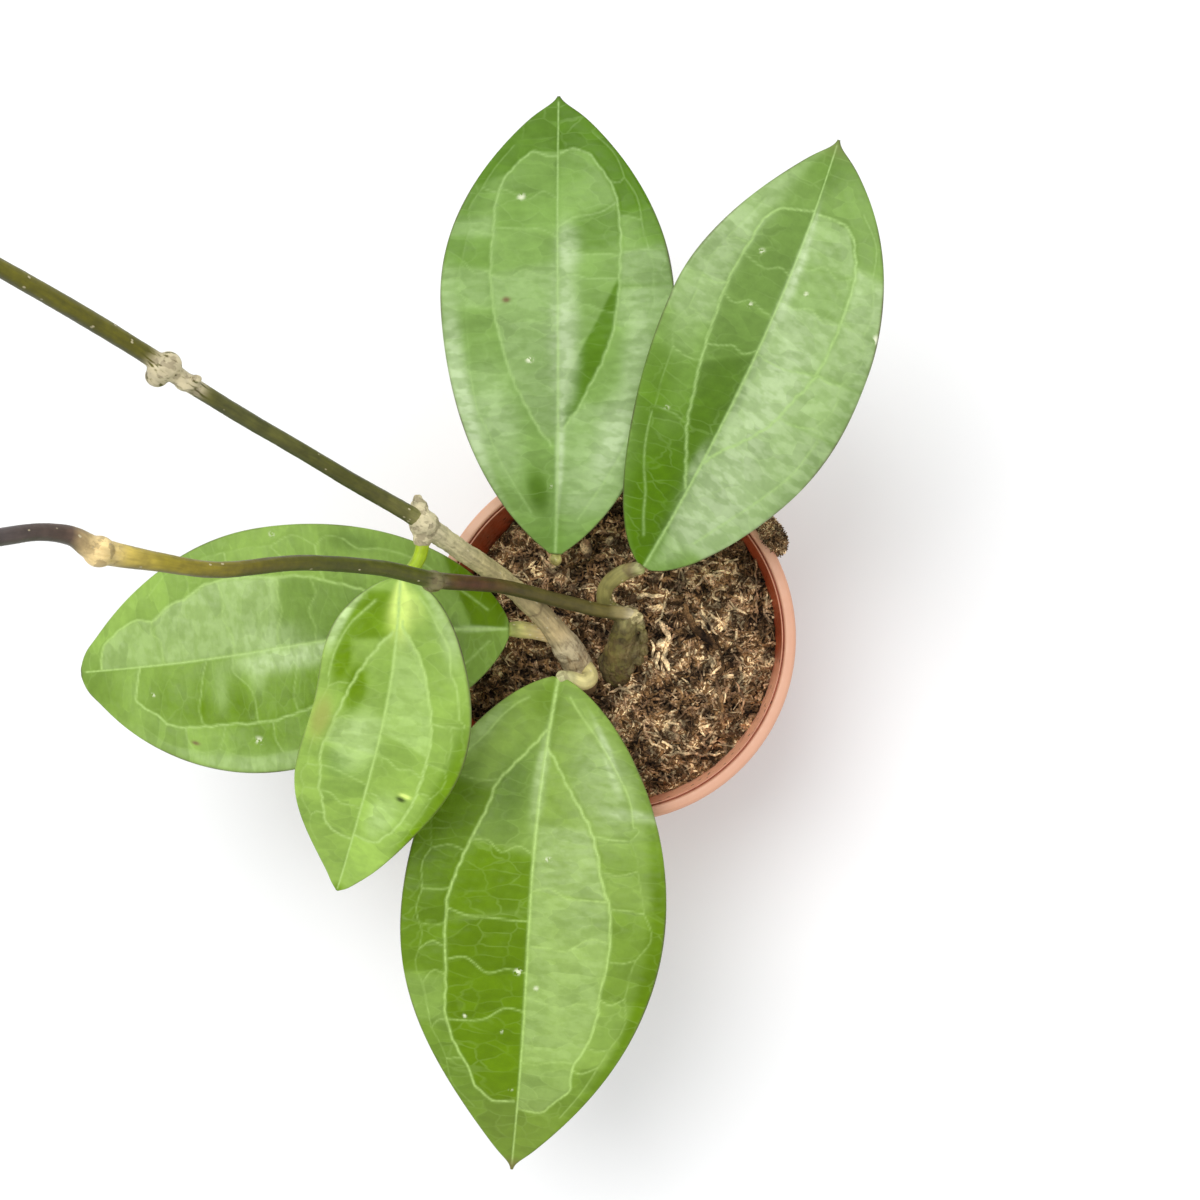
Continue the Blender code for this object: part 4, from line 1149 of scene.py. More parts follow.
def leaf_material(name, blade, settings):
    """Thick leaf with a wax coat: panels of slightly different green, pale veins and a purplish edge; its
    pale patches are partly painted sheen, its deep green patches partly painted shade, and its vivid
    yellow-green partly painted light shining through the blade.
    """
    material, tree, shader = new_material(name, specular_ior_level=0.12, coat_roughness=0.30)
    flat = stored(tree, "flat_place", "Vector")
    drawn_out = stretched(tree, flat, (1.7, 0.8, 1.0))
    clouds = mottled(tree, flat, 0.016, 2.0, 1.2)
    cross_bands = mottled(tree, drawn_out, 0.005, 2.0, 1.5)
    fine = mottled(tree, flat, 0.0012, 2.0, 1.0)
    # Deep patches: partly darker green, partly painted shade from folds, from leaves above and on halves
    # turned from the light.
    deep = larger(tree, stored(tree, "deep"), times(tree, clouds, 0.3))
    warmth = blade.warmth
    green = mixed(tree, warmth, settings.green, WARM_GREEN)
    green = mixed(tree, deep, green, settings.deep)
    # Vivid patches: partly yellow-green colour, partly painted glow of light shining through the blade.
    vivid = mixed(tree, min(1.0, 2.5 * warmth), COOL_GLOW, settings.glow)
    green = mixed(tree, stored(tree, "glow"), green, vivid)
    # Pale patches: partly wax, partly painted sheen in bands across the quilted face; the same mask sets the
    # coat.
    crinkle_sheen = scaled(tree, ranged(tree, cross_bands, 0.25, 0.7), 0.3, 0.65)
    wax_and_sheen = times(tree, stored(tree, "bloom_and_sheen"), crinkle_sheen)
    green = mixed(tree, wax_and_sheen, green, mixed(tree, warmth, settings.bloom_and_sheen, WARM_BLOOM_AND_SHEEN))
    facets = place_group(tree, facets_group, vector=drawn_out, size=0.0078)
    net = times(tree, output(facets.node, "Line"), times(tree, clouds, NET_STRENGTH))
    green = mixed(tree, stored(tree, "pale"), green, PALE)
    green = brightened(tree, green, stored(tree, "tone"), 0.90 * blade.light, 1.10 * blade.light)
    for mask, change in ((facets, 0.09), (cross_bands, 0.06), (fine, 0.03)):
        green = brightened(tree, green, mask, 1.0 - change, 1.0 + change)
    broken = scaled(tree, fine, 0.6, 0.55)
    vein = times(tree, stored(tree, "vein"), broken)
    vein = times(tree, vein, blade.vein_strength, clamp=True)
    green = mixed(tree, larger(tree, vein, net), green, mixed(tree, warmth, settings.vein, WARM_VEIN))
    under = mixed(tree, times(tree, vein, 0.5), settings.underside, settings.green)
    under = brightened(tree, under, clouds, 0.92, 1.08)
    face = mixed(tree, stored(tree, "under"), green, under)
    crusty = times(tree, stored(tree, "white"), ranged(tree, fine, 0.35, 0.55))
    edge = times(tree, stored(tree, "edge"), clouds)
    for mask, mark in ((stored(tree, "stain"), STAIN), (stored(tree, "slit"), SLIT), (crusty, WHITE_FLECK),
                       (stored(tree, "brown"), BROWN_FLECK), (edge, settings.rim)):
        face = mixed(tree, mask, face, mark)
    satin = scaled(tree, cross_bands, 0.12, 0.36)
    pores = place_group(tree, pores_group, vector=flat, size=0.0005)
    feed(tree, shader, {
        "Base Color": face, "Roughness": scaled(tree, stored(tree, "under"), 0.25, satin),
        "Coat Weight": times(tree, wax_and_sheen, 0.38), "Normal": bump(tree, pores, 0.00012, 0.4)})
    return material


# Stems, vines and leaf stalks

@dataclass
class Stem:
    """A stem as its route of (x, y, z) and radii in millimetres, with round knobs and its colours."""
    node: str
    slot: str
    route: list
    radii: list
    colours: list                   # share of the length, and colour on a screen
    knobs: list = field(default_factory=list)       # (centre, radii)
    scars: list = field(default_factory=list)       # ring scars, as shares of the length
    woody: bool = False
    rough: float = 1.0              # how lumpy the bark is
    moss: float = 0.0               # how mossy the bark is
    cork: float = 0.6               # how corky the knobs are
    specks: float = 0.1             # share of pale pores


STEMS = {
    "woody_stem": Stem(
        node="stem_a_wood", slot="woody_stem", woody=True, rough=1.4, cork=.75, specks=.22,
        route=[(-9.3, -16.4, 60), (-9.4, -15.8, 74), (-9.6, -14.4, 86), (-10.6, -10.6, 94),
            (-13.6, -4.2, 101), (-19.8, 4.4, 109), (-28, 12.8, 117), (-36.5, 19.7, 126), (-45.3, 25.6, 136),
            (-53.6, 31.4, 146)],
        radii=[4, 4.3, 4.6, 5, 4.7, 3.6, 3.4, 3.3, 3.2, 3.3],
        knobs=[((-11.4, -8.8, 96.5), (4.4, 4.2, 4.2)), ((-14.6, -3.2, 101.5), (4.6, 4.8, 4.4)),
            ((-54.4, 31.9, 146.4), (4.7, 4.4, 4.6)), ((-55.8, 36.6, 146.8), (2.9, 3.4, 2.8)),
            ((-54.8, 27.4, 146), (2.9, 3, 2.9)), ((-56.2, 39.6, 147.2), (1.5, 1.5, 1.6)),
            ((-11.2, -11.6, 99.2), (1.9, 1.8, 2))],
        scars=[.3, .345, .375, .56],
        colours=[(0, 92, 70, 46), (.24, 120, 96, 66), (.34, 148, 124, 90), (.46, 176, 156, 114),
            (.78, 174, 162, 116), (1, 196, 188, 150)]),
    "old_stump": Stem(
        node="stem_b_wood", slot="old_stump", woody=True, rough=2.6, moss=.55, cork=.1, specks=0,
        route=[(2.6, -15, 60), (2.4, -14.6, 72), (1.6, -12.6, 83), (1.3, -9, 89), (3, -1.6, 94.5),
            (5.4, 5.2, 97.5), (7.4, 8, 99)],
        radii=[3.9, 4.2, 4.6, 5.2, 4.6, 4, 3.2],
        knobs=[((6.2, -2.4, 91.5), (3.6, 5.2, 4.2)), ((-1.6, -8.2, 88), (3.6, 4.4, 3.8)),
            ((9.4, 4, 95.4), (1.4, 2.4, 2.6)), ((10.3, .4, 94), (1.5, 2.5, 2.6)),
            ((10.2, -3.4, 92.4), (1.5, 2.5, 2.6)), ((8.4, -6.8, 90.6), (1.8, 2, 2.4)),
            ((3.4, -6.4, 93.4), (2, 1.6, 1.8)), ((.2, -1, 93.2), (1.8, 2.6, 2)),
            ((5.6, -10, 90.8), (1.6, 2.2, 1.8)), ((1.8, 3, 95.8), (1.3, 2, 1.7)),
            ((5.4, 6.6, 98), (4.4, 3.6, 3.8)), ((9, 6.6, 99.6), (1.7, 1.9, 1.5)),
            ((2.2, 9.2, 99.4), (1.8, 1.2, 1.4))],
        scars=[.5, .62, .8],
        colours=[(0, 60, 44, 28), (.5, 76, 60, 34), (.7, 94, 80, 42), (.88, 86, 76, 38),
            (.95, 130, 124, 72), (1, 190, 176, 128)]),
    "long_vine": Stem(
        node="vine_a", slot="green_vine", cork=1, specks=.14,
        route=[(-53.6, 31.4, 146), (-58.7, 34.9, 150), (-73.5, 43, 163), (-86.5, 50.5, 176),
            (-100.9, 58.6, 190), (-112.3, 65.5, 202), (-117.4, 68.9, 207), (-123.4, 72.9, 213),
            (-134.5, 79.3, 231), (-148, 86.3, 254), (-154, 88.8, 268), (-158, 89.6, 283),
            (-159.6, 89.2, 298), (-159.2, 88.2, 309)],
        radii=[2.9, 2.7, 2.5, 2.4, 2.4, 2.5, 2.8, 2.6, 2.6, 2.4, 2, 1.7, 1.3, .8],
        knobs=[((-116.8, 69.8, 207.6), (3.7, 3.9, 3.7)), ((-120.4, 67, 206.4), (3.4, 3.2, 3)),
            ((-118.9, 68.5, 208), (4, 3.4, 3.4)), ((-112.6, 65.6, 203.2), (3.8, 2.6, 2.6)),
            ((-109.6, 66.2, 205.4), (1.7, 1.3, 1.4)), ((-159.4, 90, 309.5), (1.3, 1.6, 6.5)),
            ((-158.6, 87, 308.5), (1.2, 1.4, 5.5))],
        colours=[(0, 150, 146, 92), (.04, 92, 90, 44), (.14, 76, 76, 22), (.36, 80, 80, 34),
            (.44, 88, 84, 12), (.75, 98, 94, 12), (1, 132, 158, 70)]),
    "thin_vine": Stem(
        node="vine_b", slot="green_vine", cork=.2, specks=.06,
        route=[(6.4, 7.4, 99.6), (1.6, 7.8, 103.8), (-3.4, 8.2, 107.4), (-15.2, 10.5, 118),
            (-31.8, 13.4, 139), (-47.3, 12.6, 170), (-60, 14.3, 190), (-77.7, 13.5, 214), (-93.5, 9.4, 238),
            (-104.7, 9.9, 254), (-115.7, 11.4, 268), (-120.5, 14.3, 275), (-125.6, 14.4, 283),
            (-131.2, 12, 294), (-136, 8.7, 307), (-138.6, 5, 320), (-139.4, 1.2, 332), (-138.6, -1.8, 341)],
        radii=[2, 2.2, 2.3, 2.3, 2.3, 2.5, 2.3, 2.2, 2.2, 2.5, 3.2, 2.5, 2.2, 2.2, 1.9, 1.6, 1.2, .8],
        knobs=[((-47.9, 12.2, 170.6), (3.5, 3.3, 3.7)), ((-115.9, 11.2, 268.2), (4, 4, 4.4)),
            ((-139.4, -1.4, 342), (1.3, 1.5, 6)), ((-137.2, -3.2, 340.6), (1.2, 1.3, 5))],
        colours=[(0, 206, 194, 158), (.016, 150, 138, 92), (.035, 92, 84, 38), (.16, 78, 70, 26),
            (.245, 84, 52, 34), (.275, 84, 56, 30), (.33, 74, 76, 12), (.46, 72, 74, 6), (.56, 92, 84, 12),
            (.66, 150, 136, 36), (.7, 186, 164, 78), (.728, 236, 206, 140), (.757, 84, 66, 54),
            (.86, 66, 60, 62), (.94, 96, 92, 64), (1, 134, 156, 76)]),
    "stalk_a": Stem(
        node="petiole_a", slot="leaf_stalk", cork=.2, specks=.2,
        route=[(-22, 36.4, 62), (-21.8, 35.4, 84), (-20.4, 31.4, 97), (-18, 26.4, 106.4),
            (-17.1, 24.2, 110.4), (-17, 25.4, 113)],
        radii=[2.3, 2.3, 2.2, 2.1, 1.9, 1.6],
        knobs=[((-17.3, 24.6, 112.6), (1.4, 1.5, 1.4))],
        scars=[.9],
        colours=[(0, 120, 104, 66), (.6, 168, 136, 92), (.9, 196, 164, 116), (1, 172, 174, 86)]),
    "stalk_b": Stem(
        node="petiole_b", slot="leaf_stalk", cork=.2, specks=.2,
        route=[(4.4, 6.8, 96.2), (-.8, 9.6, 98.2), (-2.2, 12.8, 101.2), (-.6, 16.8, 105.2),
            (4.4, 20, 109.4), (10.9, 21.6, 112.2)],
        radii=[2.9, 2.8, 2.6, 2.6, 2.7, 2.1],
        knobs=[((9.6, 20.8, 112.4), (2.1, 1.9, 1.6))],
        scars=[.12, .84],
        colours=[(0, 88, 86, 40), (.2, 122, 118, 64), (.5, 140, 134, 78), (.8, 146, 140, 82),
            (.88, 120, 106, 62), (1, 162, 166, 100)]),
    "stalk_c": Stem(
        node="petiole_c", slot="leaf_stalk", cork=.2, specks=.3,
        route=[(-14.6, -.6, 104.4), (-20, .8, 103.8), (-25, 1.8, 103.4), (-29.4, 2.3, 103.8),
            (-33, 2.4, 105.2)],
        radii=[2.9, 2.8, 2.7, 2.8, 2.3],
        colours=[(0, 168, 142, 98), (.4, 190, 168, 116), (.8, 172, 168, 98), (1, 150, 160, 80)]),
    "stalk_d": Stem(
        node="petiole_d", slot="leaf_stalk", cork=.2,
        route=[(-54.8, 28.8, 146), (-55, 24.6, 145.8), (-56.2, 20.6, 146.2), (-58.4, 17.4, 147.2),
            (-61.2, 15.4, 148.2)],
        radii=[2.2, 2.1, 2.1, 2.1, 2],
        colours=[(0, 166, 176, 66), (.3, 140, 164, 6), (1, 152, 180, 50)]),
    "stalk_e": Stem(
        node="petiole_e", slot="leaf_stalk", cork=.2, specks=.15,
        route=[(-11.6, -7.6, 94.2), (-8, -10.6, 97.4), (-7, -13.4, 99.8), (-9.2, -14.8, 102),
            (-12.8, -13.6, 103.9), (-16.6, -13.3, 106.2)],
        radii=[3.2, 2.9, 2.8, 2.7, 2.5, 2.2],
        knobs=[((-15.6, -13.2, 105.8), (2, 2.2, 1.7))],
        scars=[.9],
        colours=[(0, 160, 140, 96), (.25, 186, 174, 116), (.7, 200, 190, 130), (1, 206, 204, 150)]),
}


# Painted shade on the sides and undersides of the green vines.
PAINTED_SIDE_SHADE = screen_colour(50, 54, 28)
MOSS = screen_colour(108, 102, 46)


def stem_places(points, route):
    """For each point: its share of the route, and its place along and around the route, in millimetres."""
    tree = KDTree(len(route))
    for index, place in enumerate(route):
        tree.insert(place, index)
    tree.balance()
    nearest = np.array([tree.find(point)[1] for point in points])
    gaps = np.linalg.norm(np.diff(route, axis=0), axis=1)
    passed = np.concatenate([[0.0], np.cumsum(gaps)])
    heading = unit(np.gradient(route, axis=0))
    aside = unit(np.cross(heading, (0.3, 0.2, 1.0)))
    upward = np.cross(aside, heading)
    offset = points - route[nearest]
    along = passed[nearest] + np.sum(offset * heading[nearest], axis=1)
    around = np.column_stack([along, np.sum(offset * aside[nearest], axis=1),
                              np.sum(offset * upward[nearest], axis=1)])
    return np.clip(along / passed[-1], 0.0, 1.0), around, passed[-1]


def route_mesh(name, routes, knobs=()):
    """Polylines with a thickness at each point, and loose points that become knobs, in millimetres."""
    points, edges, thickness = [], [], []
    for route in routes:
        first = len(points)
        points.extend(route[:, :3])
        thickness.extend(route[:, 3])
        edges.extend((index, index + 1) for index in range(first, len(points) - 1))
    tube_points = len(points)
    points.extend(centre for centre, _ in knobs)
    mesh = make_mesh(name, np.array(points) * MM, edges=edges)
    is_knob = np.arange(len(points)) >= tube_points
    attribute = mesh.attributes.new("is_knob", "BOOLEAN", "POINT")
    attribute.data.foreach_set("value", is_knob)
    add_values(mesh, "thickness", np.concatenate([thickness, np.zeros(len(knobs))]) * MM)
    sizes = np.zeros((len(points), 3))
    for index, (_, radii) in enumerate(knobs):
        sizes[tube_points + index] = radii
    add_values(mesh, "knob_size", sizes * MM, "FLOAT_VECTOR")
    return mesh


def make_stem(name, settings, trees, material):
    """A tube with its knobs, melted into one skin, roughened, and marked for its colours."""
    stem = STEMS[name]
    knots = [(*place, radius) for place, radius in zip(stem.route, stem.radii)]
    route = smooth_route(knots, 0.8)
    obj = link_object(name, route_mesh(name, [route], stem.knobs))
    add_tree(obj, trees["tubes_along_routes"], {"Sides": 24, "Knob Detail": 4, "Material": material})
    melt = obj.modifiers.new("melt", "REMESH")
    melt.mode = "VOXEL"
    melt.voxel_size = settings.grain
    soften = obj.modifiers.new("soften", "SMOOTH")
    soften.factor = 0.5
    soften.iterations = 10 if stem.woody else 14
    add_tree(obj, trees["bark"], {
        "Depth": (settings.bark_depth if stem.woody else settings.vine_depth) * stem.rough,
        "Lump Size": 0.0040 if stem.woody else 0.0060, "Grain Size": 0.0011, "Seed": float(len(name)),
        "Material": material})
    apply_modifiers(obj)
    point_outwards(obj.data)
    points = mesh_points(obj.data) / MM
    along, around, total = stem_places(points, route[:, :3])
    add_values(obj.data, "along", along)
    add_values(obj.data, "around", around * MM, "FLOAT_VECTOR")
    add_values(obj.data, "topside", around[:, 2] / np.maximum(np.hypot(around[:, 1], around[:, 2]), 0.01))
    near_knob = np.zeros(len(points))
    for centre, radii in stem.knobs:
        distance = np.linalg.norm(points - np.array(centre), axis=1) / max(radii)
        near_knob = np.maximum(near_knob, np.exp(-np.clip(distance - 0.8, 0.0, None) ** 2 / 0.4))
    add_values(obj.data, "knob", near_knob)
    scars = np.zeros(len(points))
    for place in stem.scars:
        wander = 0.5 * np.sin(around[:, 1] * 1.3 + place * 40.0)
        scars = np.maximum(scars, np.exp(-((around[:, 0] - place * total + wander) / 0.45) ** 2))
    add_values(obj.data, "scar", scars)
    shade(obj.data)
    return obj


def stem_material(name, stem, settings):
    """Bark or green skin: its own colours along the stem, streaks, pale pores, corky knobs and scars, and
    painted shade on the sides and undersides of the green vines.
    """
    roughness = 0.8 if stem.woody else 0.46
    material, tree, shader = new_material(name, specular_ior_level=0.3)
    around = stored(tree, "around", "Vector")
    drawn_out = stretched(tree, around, (0.16, 1.0, 1.0))
    streaks = mottled(tree, drawn_out, 0.0011, 3.0, 1.4)
    clouds = mottled(tree, around, 0.0045, 3.0, 1.5)
    pores = place_group(tree, speckle_group, vector=stretched(tree, around, (0.6, 1.0, 1.0)),
                        size=0.0013, share=stem.specks, dot=0.3)
    skin = ramp(tree, stored(tree, "along"), [(place, screen_colour(*tone)) for place, *tone in stem.colours])
    skin = brightened(tree, skin, clouds, 0.80 - 0.3 * stem.moss, 1.18 + 0.4 * stem.moss)
    skin = brightened(tree, skin, streaks, 0.78 if stem.woody else 0.84, 1.16)
    skin = mixed(tree, times(tree, pores, 0.7), skin, settings.cork)
    tufts = mottled(tree, around, 0.0024, 3.0, 2.0)
    skin = mixed(tree, times(tree, ranged(tree, tufts, 0.4, 0.7), stem.moss), skin, MOSS)
    corky = times(tree, stored(tree, "knob"), ranged(tree, streaks, 0.0, 0.45))
    cork = brightened(tree, settings.cork, clouds, 0.72, 1.05)
    skin = mixed(tree, times(tree, corky, stem.cork), skin, cork)
    crack = times(tree, ranged(tree, tufts, 0.6, 0.85), stored(tree, "knob"))
    scarred = larger(tree, stored(tree, "scar"), crack)
    skin = mixed(tree, times(tree, scarred, 0.4), skin, settings.crack)
    # Painted shade: the green vines are darker on their sides and undersides, less on the knobs.
    if stem.slot == "green_vine":
        side_shade_share = scaled(tree, stored(tree, "knob"), -0.5, 0.62)
        aside = ranged(tree, stored(tree, "topside"), 0.85, 0.0)
        skin = mixed(tree, times(tree, aside, side_shade_share), skin, PAINTED_SIDE_SHADE)
    height = plus(tree, streaks, minus(tree, pores, scarred))
    feed(tree, shader, {
        "Base Color": skin, "Roughness": scaled(tree, streaks, 0.15, roughness - 0.08),
        "Normal": bump(tree, height, 0.0003 if stem.woody else 0.0001, 0.7)})
    return material


# The pot

def offset_profile(points, distance):
    """Move a profile of (radius, height) points to its left by a distance, with mitred corners."""
    points = [Vector(point) for point in points]
    headings = [(b - a).normalized() for a, b in zip(points, points[1:])]
    normals = [Vector((-heading.y, heading.x)) for heading in headings]
    moved = [points[0] + normals[0] * distance]
    for point, before, after in zip(points[1:-1], normals, normals[1:]):
        moved.append(point + (before + after) * (distance / (1.0 + before.dot(after))))
    moved.append(points[-1] + normals[-1] * distance)
    return [(point.x, point.y) for point in moved]


def rounded_profile(points, radius):
    """Round the corners of a profile, less where its sides are short."""
    steps = 4
    points = [Vector(point) for point in points]
    rounded = [points[0]]
    for before, corner, after in zip(points, points[1:], points[2:]):
        reach = min(radius, 0.45 * (corner - before).length, 0.45 * (after - corner).length)
        start = corner + (before - corner).normalized() * reach
        end = corner + (after - corner).normalized() * reach
        for step in range(steps + 1):
            t = step / steps
            rounded.append(start * (1.0 - t) ** 2 + corner * (2.0 * t * (1.0 - t)) + end * t ** 2)
    rounded.append(points[-1])
    return [(point.x, point.y) for point in rounded]


def underside_profile(settings):
    """From the axis outwards under the pot, then up the outside of its wall."""
    wall_top = settings.height - 1.6 * MM
    return [(0.0, 0.0), (24.0 * MM, 0.0), (25.4 * MM, 3.0 * MM), (35.8 * MM, 3.0 * MM), (37.2 * MM, 0.0),
            (settings.base_radius - 1.0 * MM, 0.0), (settings.base_radius, 1.0 * MM),
            (settings.lip_inner_radius + settings.wall, wall_top)]


def pot_profile(settings):
    """Up the inside, over the bead, the crease and the lip, down the skirt and back under the pot."""
    outside = underside_profile(settings)
    inside = offset_profile(outside, settings.wall)
    inside[0] = (0.0, settings.wall)
    lip, rim, top = settings.lip_inner_radius, settings.rim_radius, settings.height
    skirt = rim - 1.3 * MM
    bead = [(lip - 0.40 * MM, top - 2.2 * MM), (lip - 0.50 * MM, top - 1.2 * MM),
            (lip - 0.10 * MM, top - 1.0 * MM)]
    crease = [(lip + 0.05 * MM, top - 2.4 * MM), (lip + 0.40 * MM, top - 2.4 * MM),
              (lip + 0.45 * MM, top - 0.6 * MM)]
    lip_top = [(lip + 0.9 * MM, top), (rim - 0.7 * MM, top), (rim, top - 0.8 * MM)]
    skirt_end = [(rim, top - settings.skirt_depth), (skirt, top - settings.skirt_depth),
                 (skirt, top - 1.6 * MM)]
    path = inside[:-1] + bead + crease + lip_top + skirt_end + outside[::-1]
    return rounded_profile(path, 0.45 * MM)


def make_pot(settings):
    hub = 1.0 * MM
    profile = [(radius - hub, -height, 0.0) for radius, height in pot_profile(settings)]
    edges = [(index, index + 1) for index in range(len(profile) - 1)]
    pot = link_object("nursery_pot", make_mesh("nursery_pot", profile, edges=edges))
    material = pot_material(settings)
    add_tree(pot, turned_tree(), {
        "Steps": settings.steps, "Hub Radius": hub, "Drain Holes": settings.drain_holes,
        "Drain Radius": settings.drain_radius, "Drain Circle": settings.drain_circle, "Material": material})
    apply_modifiers(pot)
    point_outwards(pot.data)
    shade(pot.data, 38.0)
    set_material(pot, material)
    return pot


# Painted shade: the darker, redder colour of the pot's inside.
SHADED_INNER_WALL = screen_colour(164, 68, 34)
# Painted light: the pale colour of the inner wall on the lower right, where it faces the light.
PAINTED_LIT_WALL = screen_colour(255, 184, 148)


def pot_material(settings):
    """Moulded terracotta-coloured plastic: faint clouds, a rim top that is partly scuffed and partly painted
    highlight, a pale lime deposit near the foot, a darker inside of painted shade with painted light on its
    lower right, and soil in the crease.
    """
    material, tree, shader = new_material("terracotta_plastic", specular_ior_level=0.45)
    place = object_place(tree)
    height = result(tree, "ShaderNodeSeparateXYZ", {"Vector": place}, "Z")
    level_place = stretched(tree, place, (1.0, 1.0, 0.0))
    radius = result(tree, "ShaderNodeVectorMath", {0: level_place}, "Value", operation="LENGTH")
    clouds = mottled(tree, place, 0.022, 3.0, 1.0)
    fine = mottled(tree, place, 0.0016, 3.0, 1.5)
    upright = stretched(tree, place, (1.0, 1.0, 0.12))
    marks = mottled(tree, upright, 0.0045, 2.0, 1.6)
    plastic = brightened(tree, settings.plastic, clouds, 0.96, 1.03)
    plastic = brightened(tree, plastic, marks, 0.985, 1.015)
    # Paler rim top: partly wear, partly painted highlight.
    on_rim = ranged(tree, height, settings.height - 2.4 * MM, settings.height - 0.3 * MM)
    worn_and_lit = times(tree, on_rim, scaled(tree, clouds, 0.25, 0.7))
    plastic = mixed(tree, worn_and_lit, plastic, settings.scuff)
    lime = times(tree, ranged(tree, height, 0.045, 0.0), ranged(tree, clouds, 0.45, 0.8))
    plastic = mixed(tree, times(tree, lime, 0.35), plastic, settings.scuff)
    taper = (settings.lip_inner_radius + settings.wall - settings.base_radius) / settings.height
    outer_radius = scaled(tree, height, taper, settings.base_radius)
    inside = ranged(tree, minus(tree, outer_radius, radius), 0.6 * MM, 1.1 * MM)
    inside = times(tree, inside, ranged(tree, height, 4.0 * MM, 6.0 * MM))
    # Painted shade: the inside below the lip is darker and redder than the outside.
    inner = brightened(tree, SHADED_INNER_WALL, marks, 0.85, 1.1)
    # Painted light: the inner wall on the lower right, which faces the light, is made pale.
    lit_side_mask = result(tree, "ShaderNodeVectorMath", {0: place, 1: (13.5, -12.5, 0.0)}, "Value",
                   operation="DOT_PRODUCT")
    inner = mixed(tree, ranged(tree, lit_side_mask, 0.75, 0.95), inner, PAINTED_LIT_WALL)
    below_lip = ranged(tree, height, settings.height - 1.0 * MM, settings.height - 4.0 * MM)
    plastic = mixed(tree, times(tree, inside, below_lip), plastic, inner)
    near_mix = ranged(tree, height, settings.height - 12.0 * MM, settings.height - 26.0 * MM)
    smears = mottled(tree, place, 0.0032, 4.0, 1.8)
    soiled = plus(tree, near_mix, minus(tree, smears, 0.85), clamp=True)
    crumbs = place_group(tree, speckle_group, vector=place, size=0.0026, share=0.16, dot=0.3)
    soiled = larger(tree, soiled, times(tree, crumbs, 0.8))
    soiled = times(tree, soiled, inside)
    plastic = mixed(tree, soiled, plastic, settings.dust)
    dull = scaled(tree, soiled, 0.4, 0.36)
    pores = place_group(tree, pores_group, vector=place, size=0.0006)
    feed(tree, shader, {
        "Base Color": plastic, "Roughness": scaled(tree, fine, 0.14, dull),
        "Normal": bump(tree, plus(tree, pores, times(tree, soiled, 2.0)), 0.0001, 0.6)})
    return material


# Potting mix

SOIL_CROWN = 1.6
SUNK_SIDES = [(140.0, 42.0, 10.0), (-50.0, 32.0, 6.0)]     # heading and spread in degrees, depth
SOIL_ROUGHNESS = [(13.0, 1.0), (6.0, 1.0), (3.0, 0.65), (1.4, 0.28)]     # wavelength and height


def soil_height(x, y, level):
    """Height of the mix, in millimetres: a low mound that has sunk at two sides, and its roughness."""
    reach = np.clip(np.hypot(x, y) / INNER_RADIUS, 0.0, 1.0)
    angle = np.degrees(np.arctan2(y, x))
    height = level - SOIL_CROWN * reach ** 2
    for heading, spread, depth in SUNK_SIDES:
        height = height - depth * np.exp(-((angle - heading) / spread) ** 2) * reach ** 5
    for index, (wavelength, rise) in enumerate(SOIL_ROUGHNESS):
        height = height + rise * ripples(x, y, wavelength, 70 + index)
    return height


def make_soil_body(settings, pot):
    """The filled body: a rough top, the tapered side and the floor of the pot."""
    level = settings.level / MM
    underside = underside_profile(pot)
    del underside[-3]       # the mix needs no chamfer at its foot
    floor = offset_profile(underside, pot.wall + 0.3 * MM)
    floor = [(radius / MM, height / MM) for radius, height in floor]
    floor[0] = (0.0, floor[1][1])
    side_start, side_end = floor[-2], floor[-1]
    slope = (side_end[0] - side_start[0]) / (side_end[1] - side_start[1])
    steps, rings = 300, 84
    angle = np.linspace(0.0, math.tau, steps, endpoint=False)
    rim = side_start[0] + slope * (level - SOIL_CROWN - side_start[1])
    radii = rim * (np.arange(1, rings + 1) / rings) ** 0.9
    x = radii[:, None] * np.cos(angle)
    y = radii[:, None] * np.sin(angle)
    z = soil_height(x, y, level)
    shrink = (side_start[0] + slope * (z[-1] - side_start[1])) / radii[-1]
    x[-1] *= shrink
    y[-1] *= shrink
    below = [(radius * np.cos(angle), radius * np.sin(angle), np.full(steps, height))
             for radius, height in floor[-2:0:-1]]
    grid = np.concatenate([np.stack([x, y, z], axis=-1)] + [np.stack(ring, axis=-1)[None] for ring in below])
    top_height = float(soil_height(np.array(0.0), np.array(0.0), level))
    points = np.concatenate([grid.reshape(-1, 3), [(0.0, 0.0, top_height), (0.0, 0.0, floor[0][1])]]) * MM
    here = np.arange(len(grid) * steps).reshape(len(grid), steps)
    after = np.roll(here, -1, axis=1)
    faces = np.stack([here[:-1], here[1:], after[1:], after[:-1]], axis=-1).reshape(-1, 4).tolist()
    for step in range(steps):
        faces.append((here.size, here[0, step], after[0, step]))
        faces.append((here.size + 1, after[-1, step], here[-1, step]))
    mesh = make_mesh("potting_mix", points, faces)
    add_values(mesh, "shade", 0.16 + 0.10 * ripples(points[:, 0] / MM, points[:, 1] / MM, 3.0, 91))
    shade(mesh)
    return link_object("potting_mix", mesh)


